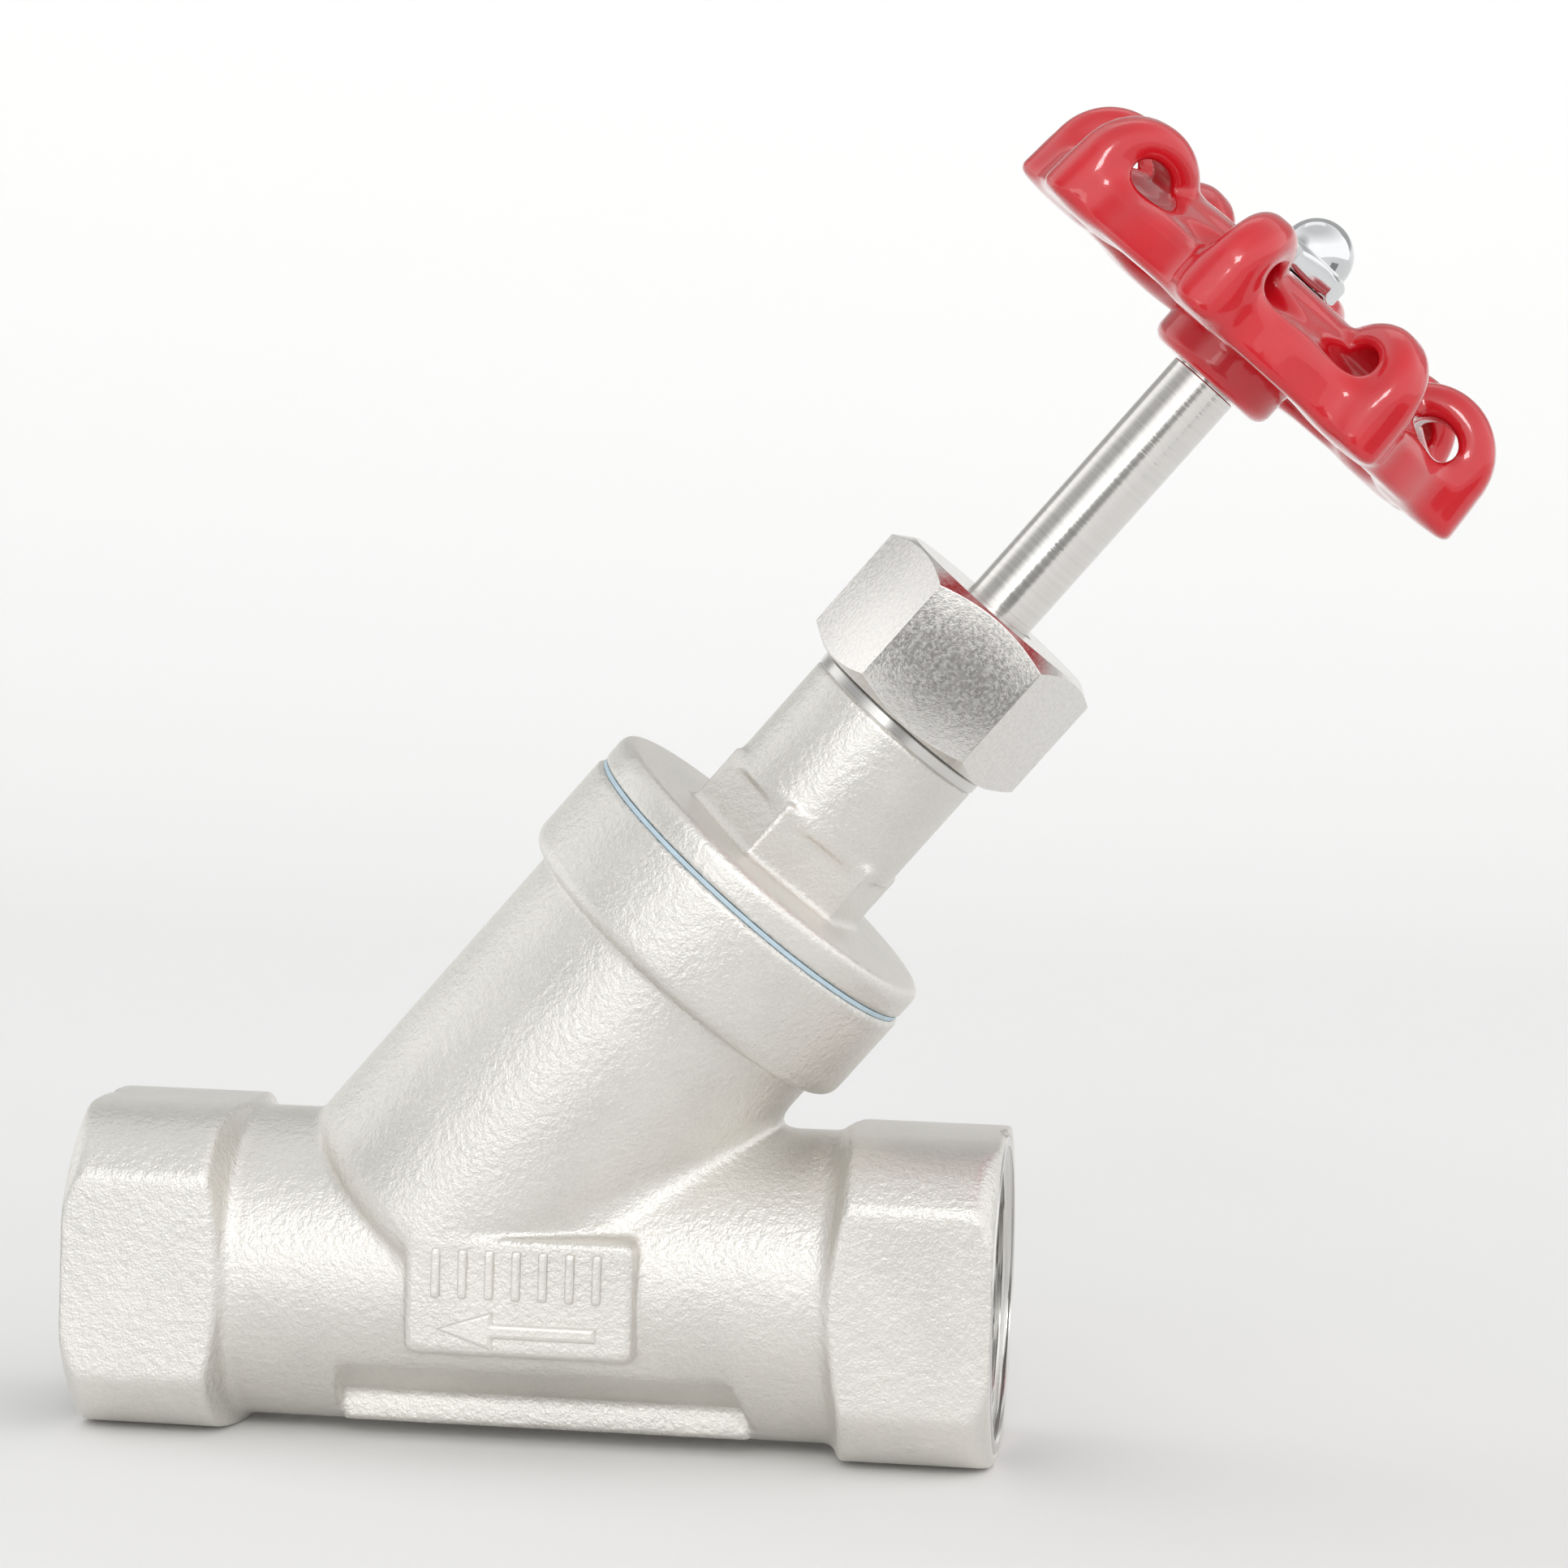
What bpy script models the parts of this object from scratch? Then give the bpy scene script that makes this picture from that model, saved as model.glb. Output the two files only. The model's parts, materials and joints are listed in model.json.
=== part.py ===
"""Y-pattern globe valve with female threaded ends, rising stem and lobed handwheel.

The run axis lies along X and the stem axis leans 50 degrees up from it, towards +X.
Their crossing is the design origin. Lengths are in millimetres until a mesh is made.
"""

import math

import bmesh
import bpy
from mathutils import Matrix, Vector

MM = 0.001
GAP = 0.3                      # clearance between touching pieces
LARGE_SIDES = 40               # facets of the casting's outer surfaces
SIDES = 36                     # facets of the other large turned surfaces
SMALL_SIDES = 24               # facets of the smaller ones

# Run
STEM_ANGLE = 50.0              # stem above the run, degrees
FACE_LEFT = -52.6
FACE_RIGHT = 97.4
END_LENGTH = 25.0              # length of a wrenching block
END_FLATS = 53.0               # across the flats of a wrenching block
END_CORNERS = 62.4             # across its turned corners
FACE_DIAMETER = 56.8           # machined ring at each end
NECK_DIAMETER = 50.8
WATERWAY = 40.0
THREAD_BORE = 44.9             # minor diameter of the G 1 1/2 thread
THREAD_DEPTH = 21.0

# Branch, measured along the stem axis from the crossing
BRANCH_DIAMETER = 57.0
BRANCH_START = 4.5
COLLAR_DIAMETER = 64.4
COLLAR_START = 66.5
BODY_TOP = 83.5
BRANCH_BORE = 47.0
BONNET_BORE = 52.0
BONNET_BORE_START = 69.0
SEAT_PLANE = 12.0
BULKHEAD = 6.0
PORT_DIAMETER = 36.0
SEAT_RING = 41.0
SEAT_HEIGHT = 1.5

# Marking pad and keel
PAD_X = (4.1, 41.0)
PAD_Z = (-9.6, 9.8)
PAD_FACE = 28.3
PAD_RAISE = 0.8
KEEL_X = (-9.5, 57.5)
KEEL_WIDTH = 24.0
KEEL_ROOT = -18.6
KEEL_START = -8.0

# Bonnet stack
FLANGE_DIAMETER = 63.6
FLANGE_START = 85.0
FLANGE_END = 90.0
HEX_FLATS = 30.4
HEX_END = 100.9
BARREL_DIAMETER = 32.4
BARREL_END = 121.7
NECK_THREAD = 28.0
NECK_THREAD_END = 139.0
NUT_START = 122.0
NUT_END = 144.7
NUT_FLATS = 36.6
NUT_TURN = 6.0                 # degrees about the stem
HEX_TURN = 19.0
PACKING_BORE = 20.0
PACKING_FLOOR = 117.0
PACKING_RINGS = 4
PACKING_PITCH = 3.9

# Stem and closing parts
STEM_DIAMETER = 12.0
STEM_HOLE = 12.4
LIFT = 24.0
THREAD_NUT = (76.0, 92.0)
STEM_THREAD = (72.0, 116.5)
THREAD_PITCH_DIAMETER = 10.5
DISC_FACE = SEAT_PLANE + SEAT_HEIGHT + GAP + LIFT
DISC_DIAMETER = 43.0
BUTTON = 15.0                  # head at the stem's lower end, held in the disc
BUTTON_NECK = 8.0
BUTTON_RISE = 10.0             # button's lower face above the disc's face
SEAL_NUT_FLATS = 13.0
SEAL_STUD = 7.6
SWIVEL_NUT = (25.6, 31.2)      # inside and outside diameters

# Handwheel
HUB_BOTTOM = 194.2
HUB_RADIUS = 11.6
RIM_BOTTOM = 199.2
RIM_RADIUS = 39.8              # between the humps
RIM_WIDTH = 8.8
RIM_HEIGHT = 8.0
LOBES = 8
LOBE_PHASE = -8.8              # degrees from the front
ARCH_CENTRE = (34.4, RIM_BOTTOM + 9.3)
ARCH_SPREAD = (7.3, 7.4)
ARCH_LEAN = 0.8                # how far the foot of a hump stands out
ARCH_BAR = 3.7
PILLAR = ((25.0, RIM_BOTTOM + 10.6), (38.5, RIM_BOTTOM + 4.6))
PILLAR_BAR = 3.4
INNER_RING = (20.5, 28.5)
SPAN_TOP = 213.6
SPOKES = 4
SPOKE = ((8.0, RIM_BOTTOM + 4.3), (22.5, RIM_BOTTOM + 7.8))
SPOKE_BAR = 3.6
WHEEL_SEAT = 9.8               # diameter of the stem inside the hub
TIP = 225.8
TOP_THREAD = 8.0
ACORN_FLATS = 13.0
ACORN_DOME = 11.8

STEEL = (0.62, 0.61, 0.59)
POLISHED = (0.72, 0.72, 0.72)
RED = (0.55, 0.012, 0.02)
BLUE = (0.33, 0.50, 0.62)
WHITE = (0.86, 0.86, 0.84)


# ---------------------------------------------------------------- helpers

def clear_scene():
    """Remove every object of the scene."""
    for item in list(bpy.data.objects):
        bpy.data.objects.remove(item, do_unlink=True)


def finish(name, colour, metallic, roughness):
    """A Principled material."""
    material = bpy.data.materials.new(name)
    material.use_nodes = True
    shader = material.node_tree.nodes["Principled BSDF"]
    shader.inputs["Base Color"].default_value = (*colour, 1.0)
    shader.inputs["Metallic"].default_value = metallic
    shader.inputs["Roughness"].default_value = roughness
    material.diffuse_color = (*colour, 1.0)
    return material


def make_object(name, mesh_data, parent, material=None, cutter=False):
    """Link a bmesh, given in millimetres, as an object under its axis empty."""
    bmesh.ops.scale(mesh_data, vec=(MM, MM, MM), verts=mesh_data.verts)
    bmesh.ops.recalc_face_normals(mesh_data, faces=mesh_data.faces)
    mesh = bpy.data.meshes.new(name)
    mesh_data.to_mesh(mesh)
    mesh_data.free()
    mesh.shade_smooth()
    mesh.set_sharp_from_angle(angle=math.radians(30))
    item = bpy.data.objects.new(name, mesh)
    bpy.context.collection.objects.link(item)
    item.parent = parent
    if material:
        mesh.materials.append(material)
    if cutter:
        item.hide_render = True
        item.display_type = "WIRE"
    return item


def turned(outline, steps=SIDES):
    """Spin a closed outline of (radius, height) points about Z."""
    shape = bmesh.new()
    verts = [shape.verts.new((r, 0.0, z)) for r, z in outline]
    on_axis = [r < 1e-6 for r, z in outline]
    edges = []
    for index, vert in enumerate(verts):
        after = (index + 1) % len(verts)
        if not (on_axis[index] and on_axis[after]):
            edges.append(shape.edges.new((vert, verts[after])))
    bmesh.ops.spin(shape, geom=verts + edges, cent=(0, 0, 0), axis=(0, 0, 1),
                   angle=math.tau, steps=steps, use_merge=True)
    bmesh.ops.remove_doubles(shape, verts=shape.verts, dist=1e-4)
    return shape


def tube(outer, inner, low, high, chamfer=0.0, steps=SMALL_SIDES):
    """A plain sleeve between two heights."""
    c = chamfer
    outline = [(inner, low), (outer - c, low), (outer, low + c),
               (outer, high - c), (outer - c, high), (inner, high)]
    if c == 0.0:
        outline = [(inner, low), (outer, low), (outer, high), (inner, high)]
    return turned(outline, steps)


def rod(radius, low, high, steps=SMALL_SIDES):
    """A solid round bar between two heights."""
    return turned([(0, low), (radius, low), (radius, high), (0, high)], steps)


def block(low, high, bevel=0.0, segments=2, vertical_only=False):
    """A box between two corners, with its edges rounded."""
    shape = bmesh.new()
    bmesh.ops.create_cube(shape, size=1.0)
    size = Vector(high) - Vector(low)
    centre = (Vector(high) + Vector(low)) / 2
    bmesh.ops.scale(shape, vec=size, verts=shape.verts)
    bmesh.ops.translate(shape, vec=centre, verts=shape.verts)
    if bevel:
        edges = list(shape.edges)
        if vertical_only:
            edges = [e for e in edges if abs(e.verts[0].co.y - e.verts[1].co.y) > 1e-6]
        bmesh.ops.bevel(shape, geom=edges, offset=bevel, segments=segments, affect="EDGES",
                        profile=0.5)
    return shape


def prism(points, low, high, axis="Z"):
    """Extrude an outline of (a, b) points along an axis."""
    shape = bmesh.new()
    place = {"Z": lambda a, b: (a, b, low), "Y": lambda a, b: (a, low, b),
             "X": lambda a, b: (low, a, b)}[axis]
    face = shape.faces.new([shape.verts.new(place(a, b)) for a, b in points])
    pulled = bmesh.ops.extrude_face_region(shape, geom=[face])["geom"]
    verts = [part for part in pulled if isinstance(part, bmesh.types.BMVert)]
    step = {"Z": (0, 0, 1), "Y": (0, 1, 0), "X": (1, 0, 0)}[axis]
    bmesh.ops.translate(shape, vec=Vector(step) * (high - low), verts=verts)
    return shape


def hexagon(flats, low, high, turn=0.0):
    """A hexagonal bar whose first flat faces -Y before it is turned about Z."""
    reach = flats / 2 / math.cos(math.radians(30))
    points = []
    for corner in range(6):
        angle = math.radians(60 * corner + turn)
        points.append((reach * math.cos(angle), reach * math.sin(angle)))
    return prism(points, low, high)


def laid_along_x(shape):
    """Turn a shape made about Z so that it lies about X."""
    bmesh.ops.rotate(shape, cent=(0, 0, 0), matrix=Matrix.Rotation(math.radians(90), 3, "Y"),
                     verts=shape.verts)
    return shape


def combine(target, tool, operation):
    """Add an exact Boolean to an object, and make its tool a hidden guide."""
    tool.hide_render = True
    tool.display_type = "WIRE"
    modifier = target.modifiers.new(f"{operation.lower()} {tool.name}", "BOOLEAN")
    modifier.object = tool
    modifier.operation = operation
    modifier.solver = "EXACT"


def guide(name, shape, parent):
    """A shape that only takes part in a Boolean."""
    return make_object(name, shape, parent, cutter=True)


# ---------------------------------------------------------------- body casting

def run_outline():
    """Radius against X of the run's turned outer surface."""
    corner = END_CORNERS / 2
    neck = NECK_DIAMETER / 2
    face = FACE_DIAMETER / 2
    left = [(face, FACE_LEFT), (corner, FACE_LEFT + 2.6), (corner, FACE_LEFT + END_LENGTH - 2),
            (neck + 1, FACE_LEFT + END_LENGTH + 2.5), (neck, FACE_LEFT + END_LENGTH + 5)]
    right = [(neck, FACE_RIGHT - END_LENGTH - 5), (neck + 1, FACE_RIGHT - END_LENGTH - 2.5),
             (corner, FACE_RIGHT - END_LENGTH + 2), (corner, FACE_RIGHT - 2.6), (face, FACE_RIGHT)]
    return [(0, FACE_LEFT)] + left + right + [(0, FACE_RIGHT)]


def keel_cutter(side):
    """The relief that leaves a keel under the run, on one side of it."""
    half = KEEL_WIDTH / 2
    outer = NECK_DIAMETER / 2 + 4
    section = [(side * half, KEEL_ROOT), (side * half, -outer), (side * outer, -outer),
               (side * outer, KEEL_START)]
    return prism(section, KEEL_X[0], KEEL_X[1], "X")


def arrow_outline():
    """A flat arrow that points to -X, inside the pad's lower half."""
    tip, barb, tail = PAD_X[0] + 5.6, PAD_X[0] + 14.2, PAD_X[1] - 6.1
    middle = PAD_Z[0] + 4.5
    return [(tip, middle), (barb, middle - 2.6), (barb, middle - 0.9), (tail, middle - 0.9),
            (tail, middle + 0.9), (barb, middle + 0.9), (barb, middle + 2.6)]


def bulkhead_half(upper):
    """A big block above or below the inclined bulkhead, in the stem's axes."""
    reach = 150.0
    if upper:
        return block((-reach, -reach, SEAT_PLANE + SEAT_HEIGHT + 0.2), (reach, reach, reach))
    return block((-reach, -reach, -reach), (reach, reach, SEAT_PLANE - BULKHEAD))


def make_body(run_axis, stem_axis, steel):
    """The casting: run, wrenching blocks, branch, collar, pad, keel and waterway."""
    body = make_object("body_casting", laid_along_x(turned(run_outline(), SIDES)), run_axis, steel)
    square = END_FLATS / 2
    bar = block((FACE_LEFT - 1, -square, -square), (FACE_RIGHT + 1, square, square))
    combine(body, guide("square_bar", bar, run_axis), "INTERSECT")
    branch, collar = BRANCH_DIAMETER / 2, COLLAR_DIAMETER / 2
    outline = [(0, BRANCH_START), (branch - 3, BRANCH_START), (branch, BRANCH_START + 5),
               (branch, COLLAR_START - 3), (collar, COLLAR_START + 2), (collar, BODY_TOP - 0.8),
               (collar - 0.8, BODY_TOP), (0, BODY_TOP)]
    combine(body, guide("branch_blank", turned(outline, LARGE_SIDES), stem_axis), "UNION")
    pad = block((PAD_X[0], -PAD_FACE, PAD_Z[0]), (PAD_X[1], -PAD_FACE + 6, PAD_Z[1]), 2.0, 3, True)
    combine(body, guide("pad_blank", pad, run_axis), "UNION")
    arrow = prism(arrow_outline(), -PAD_FACE - PAD_RAISE, -PAD_FACE + 2, "Y")
    combine(body, guide("arrow_blank", arrow, run_axis), "UNION")
    for side in (-1, 1):
        combine(body, guide(f"keel_cutter_{side + 1}", keel_cutter(side), run_axis), "DIFFERENCE")
    cut_waterway(body, run_axis, stem_axis)
    return body


def cut_waterway(body, run_axis, stem_axis):
    """Both chambers, the port in the inclined bulkhead, the thread bores and the branch bore."""
    water, thread = WATERWAY / 2, THREAD_BORE / 2
    for name, upper in (("lower_chamber", False), ("upper_chamber", True)):
        chamber = guide(name, laid_along_x(rod(water, FACE_LEFT - 5, FACE_RIGHT + 5, SIDES)), run_axis)
        half = guide(name + "_half", bulkhead_half(upper), stem_axis)
        combine(chamber, half, "INTERSECT")
        combine(body, chamber, "DIFFERENCE")
    left = [(0, FACE_LEFT - 2), (thread + 2, FACE_LEFT - 2), (thread + 1.6, FACE_LEFT),
            (thread, FACE_LEFT + 1.6), (thread, FACE_LEFT + THREAD_DEPTH),
            (water - 1, FACE_LEFT + THREAD_DEPTH + 3), (0, FACE_LEFT + THREAD_DEPTH + 3)]
    right = [(radius, FACE_RIGHT + FACE_LEFT - x) for radius, x in left]
    combine(body, guide("thread_bore_left", laid_along_x(turned(left)), run_axis), "DIFFERENCE")
    combine(body, guide("thread_bore_right", laid_along_x(turned(right)), run_axis),
            "DIFFERENCE")
    bore, mouth = BRANCH_BORE / 2, BONNET_BORE / 2
    ring, port = SEAT_RING / 2, PORT_DIAMETER / 2
    outline = [(0, SEAT_PLANE - BULKHEAD - 9), (port, SEAT_PLANE - BULKHEAD - 9),
               (port, SEAT_PLANE + SEAT_HEIGHT), (ring - 0.6, SEAT_PLANE + SEAT_HEIGHT),
               (ring, SEAT_PLANE), (bore, SEAT_PLANE), (bore, BONNET_BORE_START - 2),
               (mouth, BONNET_BORE_START), (mouth, BODY_TOP + 2), (0, BODY_TOP + 2)]
    combine(body, guide("branch_bore", turned(outline), stem_axis), "DIFFERENCE")


# ---------------------------------------------------------------- bonnet and packing

def make_bonnet(axis, steel):
    """Screwed bonnet: spigot, flange, hexagon base, barrel, thread neck and bores."""
    spigot, flange = BONNET_BORE / 2 - GAP, FLANGE_DIAMETER / 2
    barrel, neck = BARREL_DIAMETER / 2, NECK_THREAD / 2
    packing, hole = PACKING_BORE / 2, STEM_HOLE / 2
    thread = THREAD_PITCH_DIAMETER / 2 + GAP
    outline = [
        (17.0, BONNET_BORE_START + 2), (spigot, BONNET_BORE_START + 2), (spigot, FLANGE_START),
        (flange - 1.2, FLANGE_START), (flange, FLANGE_START + 1.2), (flange, FLANGE_END - 1.6),
        (flange - 1.6, FLANGE_END), (barrel, FLANGE_END), (barrel, BARREL_END), (neck, BARREL_END),
        (neck, NECK_THREAD_END), (packing, NECK_THREAD_END), (packing, PACKING_FLOOR),
        (hole, PACKING_FLOOR), (hole, THREAD_NUT[1]), (thread, THREAD_NUT[1] - 0.6),
        (thread, THREAD_NUT[0]), (17.0, THREAD_NUT[0])]
    bonnet = make_object("bonnet", turned(outline), axis, steel)
    base = hexagon(HEX_FLATS, FLANGE_END - 1, HEX_END, HEX_TURN)
    centre = guide("hex_bore", rod(BARREL_DIAMETER / 2 - 2, FLANGE_END - 3, HEX_END + 3, SIDES), axis)
    blank = guide("hex_base", base, axis)
    combine(blank, centre, "DIFFERENCE")
    combine(bonnet, blank, "UNION")
    return bonnet


def make_packing(axis, materials):
    """Base ring, packing rings and gland follower in the stuffing box."""
    outer, inner = PACKING_BORE / 2 - GAP, STEM_DIAMETER / 2 + GAP
    floor = PACKING_FLOOR + GAP
    make_object("packing_base_ring", tube(outer, inner, floor, floor + 1.6), axis,
                materials["polished"])
    low = floor + 1.6 + GAP
    for index in range(PACKING_RINGS):
        high = low + PACKING_PITCH - GAP
        make_object(f"packing_ring_{index + 1}", tube(outer, inner, low, high, 0.3), axis,
                    materials["white"])
        low = high + GAP
    collar = NECK_THREAD / 2 - 1
    outline = [(inner, low), (outer, low), (outer, NECK_THREAD_END + GAP),
               (collar, NECK_THREAD_END + GAP), (collar, NECK_THREAD_END + 1.8),
               (inner, NECK_THREAD_END + 1.8)]
    make_object("gland_follower", turned(outline, SMALL_SIDES), axis, materials["polished"])


def make_packing_nut(axis, polished):
    """Hexagon cap nut, chamfered at both ends, hollow from below."""
    cavity, hole = NECK_THREAD / 2 + GAP, STEM_DIAMETER / 2 + GAP
    reach = NUT_FLATS / 2 / math.cos(math.radians(30)) + 0.2
    nut = make_object("packing_nut", hexagon(NUT_FLATS, NUT_START, NUT_END, NUT_TURN), axis,
                      polished)
    edge = NUT_FLATS / 2 - 0.4
    drop = 1.5
    bevel = [(0, NUT_START - 0.01), (edge, NUT_START - 0.01), (reach, NUT_START + drop),
             (reach, NUT_END - drop), (edge, NUT_END + 0.01), (0, NUT_END + 0.01)]
    combine(nut, guide("nut_chamfer", turned(bevel), axis), "INTERSECT")
    inside = [(0, NUT_START - 1), (cavity, NUT_START - 1),
              (cavity, NECK_THREAD_END + 1.8 + GAP), (hole, NECK_THREAD_END + 1.8 + GAP),
              (hole, NUT_END + 1), (0, NUT_END + 1)]
    combine(nut, guide("nut_cavity", turned(inside), axis), "DIFFERENCE")
    return nut


# ---------------------------------------------------------------- stem and disc

def make_stem(axis, polished):
    """Button, collar neck, thread core, polished shank, wheel seat and top thread."""
    shank, core = STEM_DIAMETER / 2, THREAD_PITCH_DIAMETER / 2
    seat, top, waist = WHEEL_SEAT / 2, TOP_THREAD / 2, BUTTON_NECK / 2
    low = DISC_FACE + BUTTON_RISE
    low_thread, high_thread = STEM_THREAD
    outline = [
        (0, low), (BUTTON / 2, low), (BUTTON / 2, low + 4), (waist, low + 4), (waist, low + 9),
        (shank - 0.4, low + 9), (shank - 0.4, low_thread), (core, low_thread + 1),
        (core, high_thread - 1), (shank, high_thread), (shank, HUB_BOTTOM - GAP),
        (seat, HUB_BOTTOM - GAP), (seat, SPAN_TOP - 3.2), (top, SPAN_TOP - 3.2),
        (top, TIP - 5.0), (top - 0.6, TIP - 4.4), (0, TIP - 4.4)]
    return make_object("stem", turned(outline, SMALL_SIDES), axis, polished)


def make_disc(axis, materials):
    """Disc holder, split collar, swivel nut, seal ring, retainer and seal nut."""
    base = DISC_FACE
    button = base + BUTTON_RISE
    outer = DISC_DIAMETER / 2
    stud = SEAL_STUD / 2
    bore = stud + GAP
    hold = BUTTON / 2 + 0.7
    holder = [
        (0, base + 5.0), (outer - 3.1, base + 5.0), (outer - 3.1, base + 0.9), (outer, base + 0.9),
        (outer, base + 6.8), (12.5, base + 7.6), (12.5, button + 7.0), (hold, button + 7.0),
        (hold, button - 0.6), (0, button - 0.6)]
    disc = make_object("disc_holder", turned(holder, SMALL_SIDES), axis, materials["steel"])
    combine(disc, guide("disc_stud", rod(stud, base - 7.6, base + 5.5), axis), "UNION")
    seal = tube(outer - 3.4, 10.3, base, base + 4.7, 0.3)
    make_object("disc_seal_ring", seal, axis, materials["white"])
    retainer = [(bore, base - 1.6), (13.5, base - 1.6), (13.5, base - 0.3), (10.0, base - 0.3),
                (10.0, base + 4.7), (bore, base + 4.7)]
    make_object("seal_retainer", turned(retainer, SMALL_SIDES), axis, materials["steel"])
    nut = make_object("seal_nut", hexagon(SEAL_NUT_FLATS, base - 6.9, base - 1.9), axis,
                      materials["polished"])
    combine(nut, guide("seal_nut_hole", rod(bore, base - 9, base + 1), axis), "DIFFERENCE")
    for index, turn in enumerate((0, 180)):
        blank = tube(hold - GAP, BUTTON_NECK / 2 + GAP, button + 4.3, button + 8.7)
        half = make_object(f"split_collar_{index + 1}", blank, axis, materials["polished"])
        keep = block((0.15, -20, button), (20, 20, button + 20))
        bmesh.ops.rotate(keep, cent=(0, 0, 0), matrix=Matrix.Rotation(math.radians(turn), 3, "Z"),
                         verts=keep.verts)
        combine(half, guide(f"collar_half_{index + 1}", keep, axis), "INTERSECT")
    inside, outside = (size / 2 for size in SWIVEL_NUT)
    hole = STEM_DIAMETER / 2 - 0.1
    cap = [(inside, button - 1), (outside, button - 1), (outside, button + 12.4),
           (hole, button + 12.4), (hole, button + 9.0), (inside, button + 9.0)]
    make_object("disc_swivel_nut", turned(cap, SMALL_SIDES), axis, materials["steel"])


# ---------------------------------------------------------------- handwheel

def sweep(path, radius_of, sides=8):
    """A round tube along a list of points, its section across the path."""
    shape = bmesh.new()
    rings = []
    for index, point in enumerate(path):
        before = path[max(index - 1, 0)]
        after = path[min(index + 1, len(path) - 1)]
        along = (after - before).normalized()
        side = along.cross(Vector((0, 0, 1)))
        if side.length < 1e-3:
            side = along.cross(Vector((0, 1, 0)))
        side.normalize()
        lift = side.cross(along)
        ring = []
        for k in range(sides):
            angle = math.tau * k / sides
            offset = side * math.cos(angle) + lift * math.sin(angle)
            ring.append(shape.verts.new(point + offset * radius_of(index)))
        rings.append(ring)
    for a, b in zip(rings, rings[1:]):
        for k in range(sides):
            shape.faces.new((a[k], a[(k + 1) % sides], b[(k + 1) % sides], b[k]))
    shape.faces.new(list(reversed(rings[0])))
    shape.faces.new(rings[-1])
    return shape


def polar(radius, angle, height):
    """A point from its radius, its angle from the front towards +X, and its height."""
    return Vector((radius * math.sin(angle), -radius * math.cos(angle), height))


def lobe_angle(index):
    """Angle of a lobe from the wheel's front."""
    return math.radians(LOBE_PHASE) + math.tau * index / LOBES


def rim_band():
    """The round lower ring of the wheel, between the humps."""
    low, high = RIM_BOTTOM, RIM_BOTTOM + RIM_HEIGHT
    outer, inner = RIM_RADIUS, RIM_RADIUS - RIM_WIDTH
    outline = [(inner + 1.0, low), (outer - 1.2, low), (outer, low + 1.2), (outer - 0.8, high - 2.6),
               (outer - 3.2, high), (inner + 1.2, high), (inner, high - 1.6), (inner, low + 1.0)]
    return turned(outline, LARGE_SIDES)


def arch_path(angle):
    """One radial hump: up from the band, over, and down to the inner ring."""
    middle, height = ARCH_CENTRE
    spread, rise = ARCH_SPREAD
    points = [polar(middle + spread + ARCH_LEAN, angle, RIM_BOTTOM + GAP)]
    for step in range(9):
        turn = math.pi * step / 8
        points.append(polar(middle + spread * math.cos(turn), angle,
                            height + rise * math.sin(turn)))
    points.append(polar(middle - spread - ARCH_LEAN, angle, RIM_BOTTOM + RIM_HEIGHT))
    return points


def make_handwheel(axis, red):
    """Lobed rim, radial arches, pillars, inner ring, spokes and hub."""
    wheel = make_object("handwheel", rim_band(), axis, red)
    near, far = INNER_RING
    inner = turned([(near, RIM_BOTTOM + 5.3), (far, RIM_BOTTOM + 3.8), (far + 1.0, RIM_BOTTOM + 6.8),
                    (far - 0.5, SPAN_TOP), (near + 3.5, SPAN_TOP), (near, SPAN_TOP - 4.1)],
                   LARGE_SIDES)
    combine(wheel, guide("inner_ring", inner, axis), "UNION")
    for index in range(LOBES):
        arch = sweep(arch_path(lobe_angle(index)), lambda step: ARCH_BAR, 8)
        combine(wheel, guide(f"arch_{index}", arch, axis), "UNION")
        between = lobe_angle(index) + math.pi / LOBES
        ends = [polar(radius, between, height) for radius, height in PILLAR]
        pillar = sweep(ends, lambda step: PILLAR_BAR, 8)
        combine(wheel, guide(f"pillar_{index}", pillar, axis), "UNION")
    for index in range(SPOKES):
        angle = lobe_angle(0) + math.tau * index / SPOKES
        ends = [polar(radius, angle, height) for radius, height in SPOKE]
        spoke = sweep(ends, lambda step: SPOKE_BAR, 8)
        combine(wheel, guide(f"spoke_{index}", spoke, axis), "UNION")
    hub = [(0, HUB_BOTTOM), (HUB_RADIUS - 0.8, HUB_BOTTOM), (HUB_RADIUS, HUB_BOTTOM + 0.8),
           (HUB_RADIUS, SPAN_TOP - 3.0), (HUB_RADIUS - 1.0, SPAN_TOP - 2.0), (0, SPAN_TOP - 2.0)]
    combine(wheel, guide("hub_blank", turned(hub, SMALL_SIDES), axis), "UNION")
    hole = rod(WHEEL_SEAT / 2 + GAP, HUB_BOTTOM - 2, SPAN_TOP + 4)
    combine(wheel, guide("hub_hole", hole, axis), "DIFFERENCE")
    return wheel


def make_fastening(axis, polished):
    """Flat washer, spring washer and acorn nut above the hub."""
    seat = SPAN_TOP - 2.0 + GAP
    inner = TOP_THREAD / 2 + GAP
    make_object("wheel_flat_washer", tube(8.4, inner, seat, seat + 1.4, 0.2), axis, polished)
    seat += 1.4 + GAP
    spring = make_object("wheel_spring_washer", tube(6.6, inner, seat, seat + 1.8), axis, polished)
    slot = block((0, -0.6, seat - 1), (12, 0.6, seat + 4))
    combine(spring, guide("spring_slot", slot, axis), "DIFFERENCE")
    seat += 1.8 + GAP
    make_acorn(axis, polished, seat, inner)


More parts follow.
